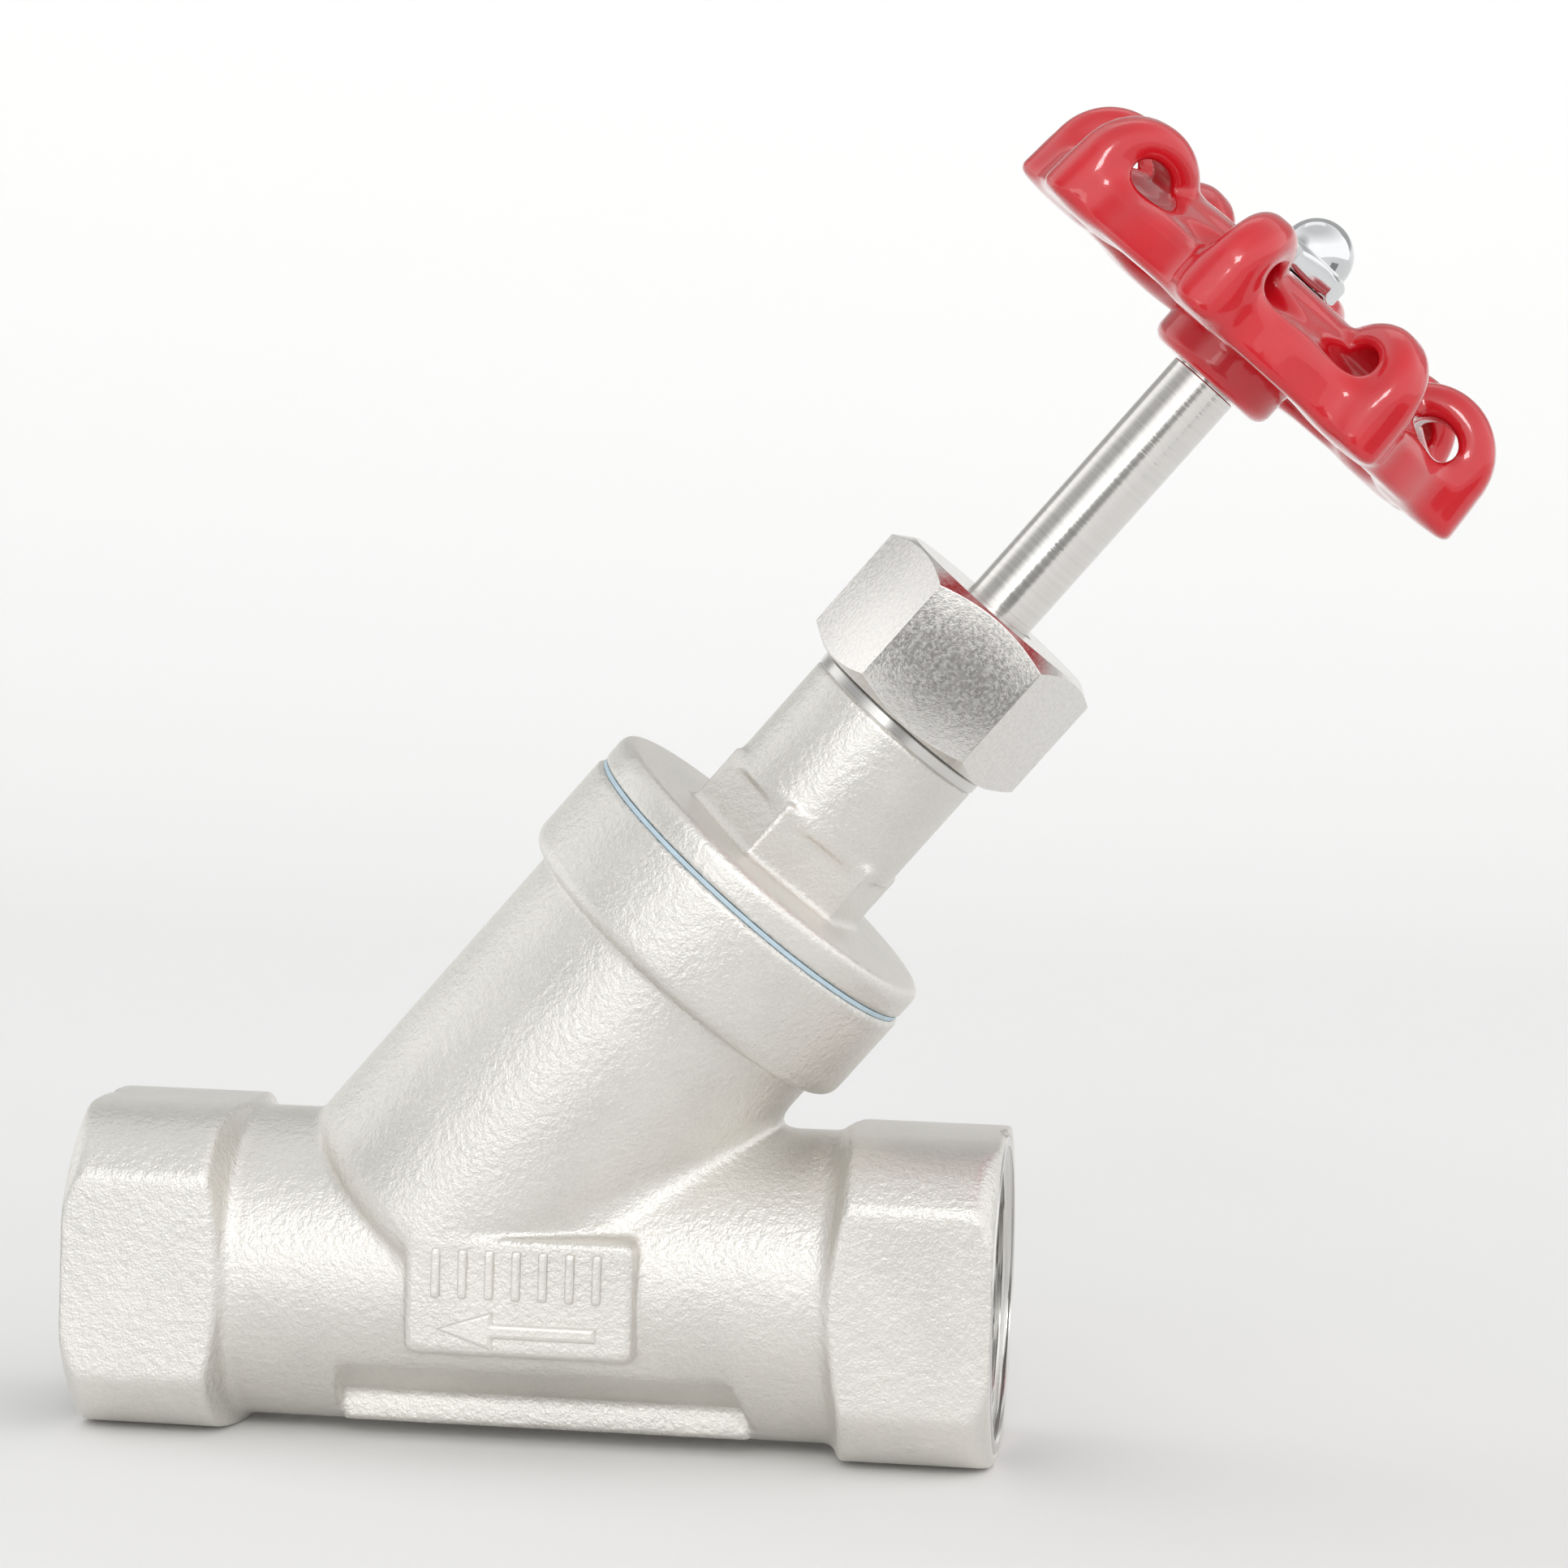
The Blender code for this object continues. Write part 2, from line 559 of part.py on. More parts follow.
def make_acorn(axis, polished, seat, inner):
    """Hexagon base with a domed cap and a blind hole from below."""
    waist = seat + 4.2
    nut = make_object("acorn_nut", hexagon(ACORN_FLATS, seat, waist), axis, polished)
    dome_radius = ACORN_DOME / 2
    shoulder = TIP - dome_radius
    outline = [(0, waist - 1.0), (dome_radius, waist - 1.0)]
    for step in range(9):
        angle = math.radians(11.25 * step)
        outline.append((dome_radius * math.cos(angle), shoulder + dome_radius * math.sin(angle)))
    outline[-1] = (0, TIP)
    combine(nut, guide("acorn_dome", turned(outline, SMALL_SIDES), axis), "UNION")
    hole = rod(inner, seat - 2, TIP - 3.8)
    combine(nut, guide("acorn_hole", hole, axis), "DIFFERENCE")


# ---------------------------------------------------------------- assembly

def make_axes():
    """Empties on the run axis and on the stem axis."""
    origin = bpy.data.objects.new("valve_origin", None)
    run_axis = bpy.data.objects.new("run_axis", None)
    stem_axis = bpy.data.objects.new("stem_axis", None)
    for item in (origin, run_axis, stem_axis):
        bpy.context.collection.objects.link(item)
    run_axis.parent = origin
    stem_axis.parent = origin
    stem_axis.rotation_euler = (0.0, math.radians(90.0 - STEM_ANGLE), 0.0)
    return origin, run_axis, stem_axis


def centre_on_floor(origin):
    """Move the origin empty so that the whole box is centred and stands on Z = 0."""
    bpy.context.view_layer.update()
    depsgraph = bpy.context.evaluated_depsgraph_get()
    corners = []
    for item in bpy.data.objects:
        if item.type == "MESH" and not item.hide_render:
            shown = item.evaluated_get(depsgraph)
            corners += [shown.matrix_world @ vert.co for vert in shown.data.vertices]
    low = [min(corner[k] for corner in corners) for k in range(3)]
    high = [max(corner[k] for corner in corners) for k in range(3)]
    origin.location = (-(low[0] + high[0]) / 2, -(low[1] + high[1]) / 2, -low[2])


def main():
    clear_scene()
    origin, run_axis, stem_axis = make_axes()
    materials = {
        "steel": finish("cast_steel", STEEL, 1.0, 0.42),
        "polished": finish("polished_steel", POLISHED, 1.0, 0.18),
        "red": finish("red_enamel", RED, 0.0, 0.25),
        "blue": finish("gasket_blue", BLUE, 0.0, 0.5),
        "white": finish("white_polymer", WHITE, 0.0, 0.45),
    }
    make_body(run_axis, stem_axis, materials["steel"])
    gasket = tube(COLLAR_DIAMETER / 2 - 0.6, BONNET_BORE / 2 + GAP, BODY_TOP + GAP / 2,
                  FLANGE_START - GAP / 2)
    make_object("bonnet_gasket", gasket, stem_axis, materials["blue"])
    make_bonnet(stem_axis, materials["steel"])
    make_packing(stem_axis, materials)
    make_packing_nut(stem_axis, materials["polished"])
    make_stem(stem_axis, materials["polished"])
    make_disc(stem_axis, materials)
    make_handwheel(stem_axis, materials["red"])
    make_fastening(stem_axis, materials["polished"])
    centre_on_floor(origin)


main()
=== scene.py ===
"""Y-pattern globe valve: cast body, screwed bonnet, packing nut, rising stem and lobed handwheel.

Lengths are in millimetres, measured from the point where the stem axis crosses the run axis,
until a mesh is placed in the frame. Shapes on the stem are made along their own Z.
"""

import json
import math

import bpy
import numpy as np
from bpy.props import FloatProperty, FloatVectorProperty, IntProperty, PointerProperty
from mathutils import Matrix, Vector


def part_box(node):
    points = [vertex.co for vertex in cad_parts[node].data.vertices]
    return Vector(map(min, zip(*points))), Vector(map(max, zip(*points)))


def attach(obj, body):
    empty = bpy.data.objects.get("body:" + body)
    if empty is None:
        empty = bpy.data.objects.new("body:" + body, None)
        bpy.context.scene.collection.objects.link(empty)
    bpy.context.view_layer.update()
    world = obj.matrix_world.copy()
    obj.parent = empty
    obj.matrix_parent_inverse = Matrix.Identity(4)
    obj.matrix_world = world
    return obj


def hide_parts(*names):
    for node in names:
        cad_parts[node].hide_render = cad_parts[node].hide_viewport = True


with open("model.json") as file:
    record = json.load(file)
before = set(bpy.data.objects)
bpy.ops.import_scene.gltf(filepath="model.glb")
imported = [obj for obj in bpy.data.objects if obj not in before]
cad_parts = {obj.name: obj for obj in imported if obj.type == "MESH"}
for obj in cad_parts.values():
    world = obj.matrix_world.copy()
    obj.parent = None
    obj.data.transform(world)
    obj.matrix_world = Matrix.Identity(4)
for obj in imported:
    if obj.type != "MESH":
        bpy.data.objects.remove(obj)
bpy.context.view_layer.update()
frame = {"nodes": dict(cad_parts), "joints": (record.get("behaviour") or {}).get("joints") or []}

bl_info = {
    "name": "Globe valve builder",
    "version": (1, 0, 0),
    "blender": (4, 5, 0),
    "location": "3D View > Sidebar > Valve",
    "description": "Builds a Y-pattern globe valve over its packed frame",
    "category": "Mesh",
}

MM = 0.001
LEAN = math.radians(50.0)
RING_RADIUS = 25.6
SLEEVE_RADIUS = 24.9
SLEEVE_GAP = 0.1
HUB_DROP = 2.0


# ---- sizes and colours

def size(name, default, description):
    """A length in millimetres."""
    return FloatProperty(name=name, default=default, description=description, min=0.0)


def colour(name, default, description):
    """A surface colour."""
    return FloatVectorProperty(name=name, default=default, description=description,
                               subtype="COLOR", size=3, min=0.0, max=1.0)


def angle(name, degrees, description):
    """An angle, given in degrees."""
    return FloatProperty(name=name, default=math.radians(degrees), description=description,
                         subtype="ANGLE", unit="ROTATION")


class CastingSizes(bpy.types.PropertyGroup):
    """Sizes of the body casting."""
    step: size("Surface step", 0.8, "Cell size of the sampled casting surface")
    end_flats: size("End flats", 53.0, "Across the flats of a wrenching block")
    end_corners: size("End corners", 62.4, "Across its turned corners")
    end_length: size("End length", 25.0, "Length of a wrenching block")
    ring_diameter: size("Ring face", 56.8, "Machined ring face at each end")
    neck_diameter: size("Neck", 50.8, "Run between the blocks")
    branch_diameter: size("Branch", 57.0, "Inclined branch")
    branch_start: size("Branch start", 6.0, "Lower end of the branch along the stem")
    collar_diameter: size("Collar", 64.4, "Collar under the bonnet")
    collar_start: size("Collar start", 67.0, "Lower edge of the collar along the stem")
    body_top: size("Body top", 83.9, "Top of the collar along the stem")
    waterway: size("Waterway", 40.0, "Bore of the run")
    branch_bore: size("Branch bore", 47.0, "Bore of the branch")
    bonnet_bore: size("Bonnet bore", 52.0, "Bore that takes the bonnet")
    port: size("Port", 36.0, "Hole in the inclined bulkhead")
    seat_plane: size("Seat plane", 12.0, "Upper face of the bulkhead along the stem")
    bulkhead: size("Bulkhead", 6.0, "Thickness of the bulkhead")
    pad_face: size("Pad face", 28.3, "Marking pad's face from the run axis")
    keel_width: size("Keel", 24.0, "Width of the keel under the run")


class ThreadSizes(bpy.types.PropertyGroup):
    """Sizes of the pipe thread in each end."""
    minor: size("Minor diameter", 44.9, "Across the thread's crests")
    pitch: size("Pitch", 2.309, "Distance between turns")
    depth: size("Depth", 1.48, "Height of the thread")
    length: size("Length", 21.0, "How far the thread goes in")


class BonnetSizes(bpy.types.PropertyGroup):
    """Sizes of the bonnet and the packing nut, along the stem."""
    flange_diameter: size("Flange", 63.6, "Bonnet flange")
    flange_start: size("Flange start", 84.75, "Lower face of the flange")
    flange_end: size("Flange end", 90.0, "Upper face of the flange")
    hex_flats: size("Hexagon", 30.4, "Across the flats of the cast hexagon")
    hex_end: size("Hexagon end", 100.9, "Top of the cast hexagon")
    hex_turn: angle("Hexagon turn", 19.0, "Turn of the cast hexagon about the stem")
    barrel_diameter: size("Barrel", 32.4, "Round barrel")
    barrel_end: size("Barrel end", 119.6, "Top of the cast barrel")
    nut_start: size("Nut start", 122.0, "Lower face of the packing nut")
    nut_end: size("Nut end", 144.7, "Upper face of the packing nut")
    nut_flats: size("Nut flats", 36.6, "Across the flats of the packing nut")
    nut_turn: angle("Nut turn", 6.0, "Turn of the packing nut about the stem")


class WheelSizes(bpy.types.PropertyGroup):
    """Sizes of the handwheel, along the stem and about it."""
    step: size("Surface step", 0.6, "Cell size of the sampled wheel surface")
    lobes: IntProperty(name="Lobes", default=8, description="Number of humps", min=3)
    phase: angle("Phase", -8.8, "Angle of the first hump from the front")
    rim_bottom: size("Rim bottom", 199.2, "Lower face of the rim")
    rim_radius: size("Rim radius", 40.8, "Outer radius between the humps")
    reach: size("Reach", 46.2, "Outer radius of a hump")
    fillet: size("Fillet", 7.0, "Blend between the rim and a hump")
    hub_bottom: size("Hub bottom", 194.2, "Lower face of the hub")
    hub_radius: size("Hub radius", 11.6, "Radius of the hub")
    span_top: size("Span top", 213.6, "Top of the inner ring")
    tip: size("Tip", 226.5, "Top of the acorn nut")


class Finishes(bpy.types.PropertyGroup):
    """Colours of the finishes."""
    cast: colour("Cast steel", (0.76, 0.742, 0.705), "Blasted cast stainless steel")
    turned: colour("Turned steel", (0.72, 0.71, 0.69), "Machined stainless steel")
    polished: colour("Polished steel", (0.80, 0.78, 0.755), "Polished stainless steel")
    chrome: colour("Chrome", (0.74, 0.75, 0.76), "Bright plating")
    enamel: colour("Enamel", (0.56, 0.006, 0.014), "Red enamel of the handwheel")
    gasket: colour("Gasket", (0.50, 0.63, 0.71), "Sheet gasket")
    polymer: colour("Polymer", (0.86, 0.86, 0.83), "White seals and packing")
    floor: colour("Floor", (0.87, 0.87, 0.865), "Sweep that the valve stands on")


GROUPS = {
    "valve_casting": CastingSizes,
    "valve_thread": ThreadSizes,
    "valve_bonnet": BonnetSizes,
    "valve_wheel": WheelSizes,
    "valve_finishes": Finishes,
}


# ---- axes from the frame

def crossing_point(context):
    """Where the stem axis crosses the run axis, and the stem's direction, in metres."""
    spin = next(j for j in frame["joints"] if j["name"] == "stem_spin")
    along = Vector(spin["axis"]).normalized()
    on_axis = Vector(spin["pos_m"])
    half_block = context.scene.valve_casting.end_flats / 2 * MM
    run_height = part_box("body_casting")[0][2] + half_block
    return on_axis - along * ((on_axis.z - run_height) / along.z), along


def run_matrix(context):
    """Millimetres about the run axis to metres in the frame."""
    return Matrix.Translation(crossing_point(context)[0]) @ Matrix.Scale(MM, 4)


def stem_matrix(context):
    """Millimetres about the stem axis to metres in the frame."""
    centre, along = crossing_point(context)
    across = Vector((0.0, 1.0, 0.0))
    turn = Matrix((across.cross(along), across, along)).transposed().to_4x4()
    return Matrix.Translation(centre) @ turn @ Matrix.Scale(MM, 4)


def run_faces(context):
    """X of the two machined end faces, in millimetres from the crossing."""
    centre, _ = crossing_point(context)
    return [(corner[0] - centre.x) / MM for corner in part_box("body_casting")]


# ---- meshes

def link(name, data):
    """A new object in the scene."""
    thing = bpy.data.objects.new(name, data)
    bpy.context.scene.collection.objects.link(thing)
    return thing


def plain_mesh(thing):
    """What an object's modifiers make of its mesh."""
    graph = bpy.context.evaluated_depsgraph_get()
    return bpy.data.meshes.new_from_object(thing.evaluated_get(graph))


def finish_piece(name, mesh, body, node, slot, sharp=None):
    """Shade a placed mesh, parent it to its body's empty and hide the frame part that it
    replaces.
    """
    mesh.validate()
    mesh.shade_smooth()
    if sharp is not None:
        mesh.set_sharp_from_angle(angle=math.radians(sharp))
    piece = link(name, mesh)
    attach(piece, body)
    if node:
        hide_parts(node)
    return piece


def add_piece(name, verts, faces, place, material, *rest):
    """Place a mesh in the frame; the rest is as for finish_piece."""
    mesh = bpy.data.meshes.new(name)
    points = np.asarray(verts, dtype=np.float64) @ np.array(place.to_3x3()).T
    mesh.from_pydata((points + np.array(place.translation)).tolist(), [], faces)
    mesh.materials.append(material)
    return finish_piece(name, mesh, *rest)


def add_turned(name, outline, sides, *rest, turn=0.0):
    """Add a piece from an outline spun about its own Z; the rest is as for add_piece."""
    return add_piece(name, *revolve(outline, sides, turn), *rest)


def add_sampled(name, distance, low, high, step, kept, *rest):
    """Add a piece from its distance function and keep a share of its triangles, the ones
    that its shape needs most; the rest is as for add_piece."""
    verts, faces = surface_of(distance, low, high, step)
    piece = add_piece(name, verts, faces.tolist(), *rest)
    modifier = piece.modifiers.new("thin_out", "DECIMATE")
    modifier.ratio = kept
    mesh = plain_mesh(piece)
    piece.modifiers.clear()
    old, piece.data = piece.data, mesh
    bpy.data.meshes.remove(old)
    piece.data.shade_smooth()


def revolve(outline, sides, turn=0.0):
    """Verts and faces of a closed outline of (radius, height) points spun about Z.

    The outline runs anticlockwise when the radius points right and Z points up. A point may
    be a function of the angle from a flat's middle, which gives a hexagon.
    """
    verts, faces, rings = [], [], []
    for point in outline:
        if not callable(point) and point[0] < 1e-6:
            rings.append([len(verts)] * sides)
            verts.append((0.0, 0.0, point[1]))
            continue
        rings.append(list(range(len(verts), len(verts) + sides)))
        for k in range(sides):
            a = math.tau * k / sides
            fold = (a + math.pi / 6) % (math.pi / 3) - math.pi / 6
            radius, height = point(fold) if callable(point) else point
            a += turn - math.pi / 2
            verts.append((radius * math.cos(a), radius * math.sin(a), height))
    for index, ring in enumerate(rings):
        after = rings[(index + 1) % len(rings)]
        if ring[0] == ring[1] and after[0] == after[1]:
            continue
        for k in range(sides):
            m = (k + 1) % sides
            quad = [ring[k], ring[m], after[m], after[k]]
            faces.append(list(dict.fromkeys(quad)))
    return verts, faces


def ring_outline(inner, outer, low, high, soft):
    """A flat ring's outline with its two outer corners rounded."""
    steps = 4
    outline = [(inner, low)]
    for start, corner, end in (((outer - soft, low), (outer, low), (outer, low + soft)),
                               ((outer, high - soft), (outer, high), (outer - soft, high))):
        for k in range(steps + 1):
            t = k / steps
            outline.append(tuple(a * (1 - t) ** 2 + b * 2 * t * (1 - t) + c * t ** 2
                                 for a, b, c in zip(start, corner, end)))
    return outline + [(inner, high)]


def hexagon_sides(flats, low, high, ease=0.5, slope=32.0):
    """The outline points of a hexagon's sides, chamfered at both ends, from low to high."""
    reach = flats / 2 - ease
    rise = math.tan(math.radians(slope))
    nip, soft = 0.06, 0.2

    def edge(height, way, less, more):
        """A point beside a chamfer's edge, which dips towards the corners."""
        def point(fold):
            corner = flats / 2 / math.cos(fold)
            return corner - less, height + way * ((corner - reach) * rise + more)
        return point

    return [(reach, low), edge(low, 1, nip, 0.0), edge(low, 1, 0.0, soft),
            edge(high, -1, 0.0, soft), edge(high, -1, nip, 0.0), (reach, high)]


# ---- sampled surfaces

def soft_min(a, b, k):
    """The lesser of two distances, blended over a width k."""
    h = np.clip(0.5 + 0.5 * (b - a) / k, 0.0, 1.0)
    return b * (1 - h) + a * h - k * h * (1 - h)


def soft_max(a, b, k):
    """The greater of two distances, blended over a width k."""
    return -soft_min(-a, -b, k)


def join(shape, *parts):
    """A shape joined with parts, each given with the width of its blend."""
    for part, k in parts:
        shape = soft_min(shape, part, k)
    return shape


def cut(shape, *limits):
    """A shape kept inside limits, each given with the width of its blend."""
    for limit, k in limits:
        shape = soft_max(shape, limit, k)
    return shape


def rounded_corner(over_u, over_v, edge):
    """Distance to a corner of two limits, rounded to a radius."""
    u, v = over_u + edge, over_v + edge
    return np.hypot(np.maximum(u, 0), np.maximum(v, 0)) + np.minimum(np.maximum(u, v), 0) - edge


def beyond_line(u, v, start, end):
    """Distance to the right-hand side of a line through two (u, v) points."""
    du, dv = end[0] - start[0], end[1] - start[1]
    length = math.hypot(du, dv)
    return ((u - start[0]) * dv - (v - start[1]) * du) / length


def capsule(x, y, z, start, end, radius):
    """Distance to a round-ended bar between two points."""
    axis = np.array(end) - np.array(start)
    t = ((x - start[0]) * axis[0] + (y - start[1]) * axis[1] + (z - start[2]) * axis[2])
    t = np.clip(t / float(axis @ axis), 0.0, 1.0)
    return np.sqrt((x - start[0] - t * axis[0]) ** 2 + (y - start[1] - t * axis[1]) ** 2
                   + (z - start[2] - t * axis[2]) ** 2) - radius


def surface_of(distance, low, high, step):
    """Verts and faces where a distance function crosses zero (surface nets)."""
    counts = [int(math.ceil((high[k] - low[k]) / step)) + 2 for k in range(3)]
    axes = [low[k] - step / 2 + step * np.arange(counts[k], dtype=np.float32) for k in range(3)]
    field = distance(*np.meshgrid(*axes, indexing="ij")).astype(np.float32)
    inside = field < 0
    cells = [c - 1 for c in counts]
    total = np.zeros((*cells, 3), dtype=np.float32)
    number = np.zeros(cells, dtype=np.float32)
    crossings = []
    for axis in range(3):
        near, far = (tuple(part if k == axis else slice(None) for k in range(3))
                     for part in (slice(None, -1), slice(1, None)))
        crossed = inside[near] != inside[far]
        a, b = field[near][crossed], field[far][crossed]
        where = np.argwhere(crossed)
        point = where.astype(np.float32)
        point[:, axis] += a / (a - b)
        others = [k for k in range(3) if k != axis]
        corners = []
        for shift in ((-1, -1), (0, -1), (0, 0), (-1, 0)):
            cell = where.copy()
            cell[:, others] += shift
            np.add.at(total, tuple(cell.T), point)
            np.add.at(number, tuple(cell.T), 1)
            corners.append(cell)
        crossings.append((axis, corners, inside[near][crossed]))
    used = number > 0
    label = np.full(cells, -1, dtype=np.int64)
    label[used] = np.arange(int(used.sum()))
    verts = total[used] / number[used][:, None]
    verts = np.stack([axes[k][0] + verts[:, k] * step for k in range(3)], axis=1)
    quads = []
    for axis, corners, starts_inside in crossings:
        quad = np.stack([label[tuple(cell.T)] for cell in corners], axis=1)
        flip = starts_inside if axis == 1 else ~starts_inside
        quad[flip] = quad[flip][:, ::-1]
        quads.append(quad)
    return settle(distance, verts, step), np.concatenate(quads)


def settle(distance, verts, step):
    """Move each vertex on to the surface along the distance's slope."""
    small, most = 0.05 * step, 0.3 * step
    points = verts.astype(np.float64)
    for _ in range(3):
        x, y, z = points.T
        here = distance(x, y, z)
        slope = np.stack([distance(x + small, y, z) - here, distance(x, y + small, z) - here,
                          distance(x, y, z + small) - here], axis=1) / small
        length = np.maximum((slope ** 2).sum(axis=1), 0.25)
        points += np.clip(-(here / length)[:, None] * slope, -most, most)
    return points


# ---- node helpers

def operator(operation, swapped=False):
    """A method that joins a wire and another value with one Math node."""
    def method(wire, other):
        values = (other, wire) if swapped else (wire, other)
        return wire.tree.calculate(operation, *values)
    return method


class Wire:
    """A number socket that adds Math nodes when it is used in an expression."""

    def __init__(self, tree, socket):
        self.tree = tree
        self.socket = socket

    __add__, __radd__ = operator("ADD"), operator("ADD", True)
    __sub__, __rsub__ = operator("SUBTRACT"), operator("SUBTRACT", True)
    __mul__, __rmul__ = operator("MULTIPLY"), operator("MULTIPLY", True)
    __truediv__, __rtruediv__ = operator("DIVIDE"), operator("DIVIDE", True)


class Tree:
    """Adds nodes to one shader or geometry tree."""

    def __init__(self, tree):
        self.tree = tree

    def add(self, kind, inputs=(), **settings):
        """One node: its settings first, then the values or links of its sockets, by name or
        in order."""
        node = self.tree.nodes.new(kind)
        for key, value in settings.items():
            setattr(node, key, value)
        for key, value in inputs.items() if isinstance(inputs, dict) else enumerate(inputs):
            self.feed(node.inputs[key], value)
        return node

    def feed(self, socket, value):
        """Link a wire or a socket, or set a constant."""
        if isinstance(value, Wire):
            value = value.socket
        if isinstance(value, bpy.types.NodeSocket):
            self.tree.links.new(value, socket)
        else:
            socket.default_value = value

    def wire(self, socket):
        """A number socket made ready for expressions."""
        return Wire(self, socket)

    def calculate(self, operation, *values):
        """One Math node."""
        return self.wire(self.add("ShaderNodeMath", values, operation=operation).outputs[0])

    def vector(self, operation, *values, result=0):
        """One Vector Math node."""
        return self.add("ShaderNodeVectorMath", values, operation=operation).outputs[result]

    def combine(self, *numbers):
        """A vector from its numbers."""
        return self.add("ShaderNodeCombineXYZ", numbers).outputs[0]

    def separate(self, vector):
        """The three numbers of a vector."""
        node = self.add("ShaderNodeSeparateXYZ", [vector])
        return [self.wire(socket) for socket in node.outputs]

    def blend(self, mask, first, second):
        """A colour between two colours."""
        inputs = {"Factor": mask, 6: first, 7: second}
        return self.add("ShaderNodeMix", inputs, data_type="RGBA").outputs[2]

    def ramp(self, value, low, high):
        """A value stretched so that low becomes 0 and high becomes 1."""
        return self.wire(self.add("ShaderNodeMapRange", [value, low, high]).outputs[0])


def rgba(values, gain=1.0):
    """A colour with its alpha, made lighter or darker by a gain."""
    return (*[min(1.0, v * gain) for v in values], 1.0)


def grey(value):
    """An opaque grey."""
    return (value, value, value, 1.0)


class Finish(Tree):
    """A material under construction: one Principled shader, its tone and its patterns."""

    def __init__(self, name, tone=(1.0, 1.0, 1.0)):
        self.tone = tone
        self.material = bpy.data.materials.new(name)
        self.material.use_nodes = True
        super().__init__(self.material.node_tree)
        self.shader = self.tree.nodes["Principled BSDF"]
        self.place = self.add("ShaderNodeTexCoord").outputs["Object"]

    def noise(self, scale, detail, roughness, where=None):
        """Smooth noise with a number of features for each metre."""
        inputs = {"Vector": where or self.place, "Scale": scale, "Detail": detail,
                  "Roughness": roughness}
        return self.wire(self.add("ShaderNodeTexNoise", inputs, normalize=True).outputs[0])

    def along(self, centre, axis):
        """Distance along an axis through a point, and distance from that axis, in metres."""
        shifted = self.vector("SUBTRACT", self.place, tuple(centre))
        height = self.wire(self.vector("DOT_PRODUCT", shifted, tuple(axis), result="Value"))
        length = self.wire(self.vector("LENGTH", shifted, result="Value"))
        square = self.calculate("MAXIMUM", length * length - height * height, 0.0)
        return height, self.calculate("SQRT", square)

    def shades(self, mask, dark, light):
        """The tone, made darker and lighter by two gains."""
        return self.blend(mask, rgba(self.tone, dark), rgba(self.tone, light))

    def done(self, bump=None, **values):
        """Feed the shader's own sockets and a bump of (height, distance, strength)."""
        for name, value in values.items():
            self.feed(self.shader.inputs[name.replace("_", " ")], value)
        if bump:
            inputs = dict(zip(("Height", "Distance", "Strength"), bump))
            node = self.add("ShaderNodeBump", inputs)
            self.feed(self.shader.inputs["Normal"], node.outputs[0])
        return self.material


def cast_steel(name, tone, grain=1.0):
    """Blasted cast steel: fine orange-peel grain with soft patches."""
    finish = Finish(name, tone)
    fine = finish.noise(2600.0, 2.0, 0.6)
    coarse = finish.noise(850.0, 2.0, 0.55)
    mask = finish.ramp(finish.noise(38.0, 3.0, 0.6), 0.35, 0.65)
    speck = finish.ramp(fine, 0.30, 0.70)
    shade = finish.shades(mask, 0.93, 1.05)
    pale = finish.blend(speck * 0.35, shade, rgba(tone, 1.22))
    return finish.done((fine * 0.5 + coarse, 0.00027 * grain, 0.85), Metallic=1.0,
                       Base_Color=pale, Roughness=mask * 0.06 + speck * 0.08 + 0.36)


def turned_steel(name, tone, centre, axis, roughness=0.22, lines_per_metre=9000.0):
    """Machined steel with fine turning lines about an axis."""
    finish = Finish(name, tone)
    height, away = finish.along(centre, axis)
    across = finish.combine(height * lines_per_metre, away * lines_per_metre)
    lines = finish.noise(1.0, 2.0, 0.7, across)
    smear = finish.noise(60.0, 2.0, 0.5)
    return finish.done((lines, min(0.27 / lines_per_metre, 0.00007), 0.6), Metallic=1.0,
                       Base_Color=finish.shades(lines, 0.86, 1.08),
                       Roughness=lines * 0.12 + smear * 0.06 + (roughness - 0.08))


def milled_steel(name, tone):
    """Bright nut steel whose fine crystals glint against the painted dark reflection of the front
    card.
    """
    finish = Finish(name, tone)
    grain = finish.noise(3600.0, 2.0, 0.7)
    clouds = finish.noise(1500.0, 3.0, 0.7)
    mask = finish.ramp(clouds, 0.38, 0.62)
    return finish.done((grain * 0.5 + clouds, 0.00004, 0.9), Metallic=1.0,
                       Base_Color=finish.shades(mask, 0.90, 1.04),
                       Roughness=mask * 0.10 + 0.17)


def chrome_plate(name, tone):
    """Bright plating with faint polishing marks."""
    finish = Finish(name, tone)
    marks = finish.noise(700.0, 3.0, 0.6)
    wide = finish.noise(90.0, 2.0, 0.5)
    return finish.done((wide, 0.00004, 0.5), Metallic=1.0, Roughness=marks * 0.06 + 0.05,
                       Base_Color=finish.shades(wide, 0.95, 1.0))


def red_enamel(name, tone):
    """Thick glossy enamel that pools a little over the casting."""
    finish = Finish(name, tone)
    pool = finish.noise(110.0, 2.0, 0.5)
    speck = finish.noise(900.0, 2.0, 0.6)
    return finish.done((pool * 0.8 + speck * 0.08, 0.0004, 0.5), Roughness=speck * 0.05 + 0.22,
                       Base_Color=finish.shades(pool, 0.86, 1.12),
                       Coat_Weight=1.0, Coat_Roughness=0.06, Specular_IOR_Level=0.3)


def soft_seal(name, tone, roughness=0.5):
    """Sheet gasket or polymer: matt with a fibrous mottle."""
    finish = Finish(name, tone)
    mottle = finish.noise(400.0, 4.0, 0.7)
    return finish.done((mottle, 0.00005, 0.5), Roughness=mottle * 0.2 + (roughness - 0.1),
                       Base_Color=finish.shades(mottle, 0.85, 1.12))


# ---- geometry trees

SOCKETS = {int: "NodeSocketInt", float: "NodeSocketFloat", type(None): "NodeSocketMaterial"}


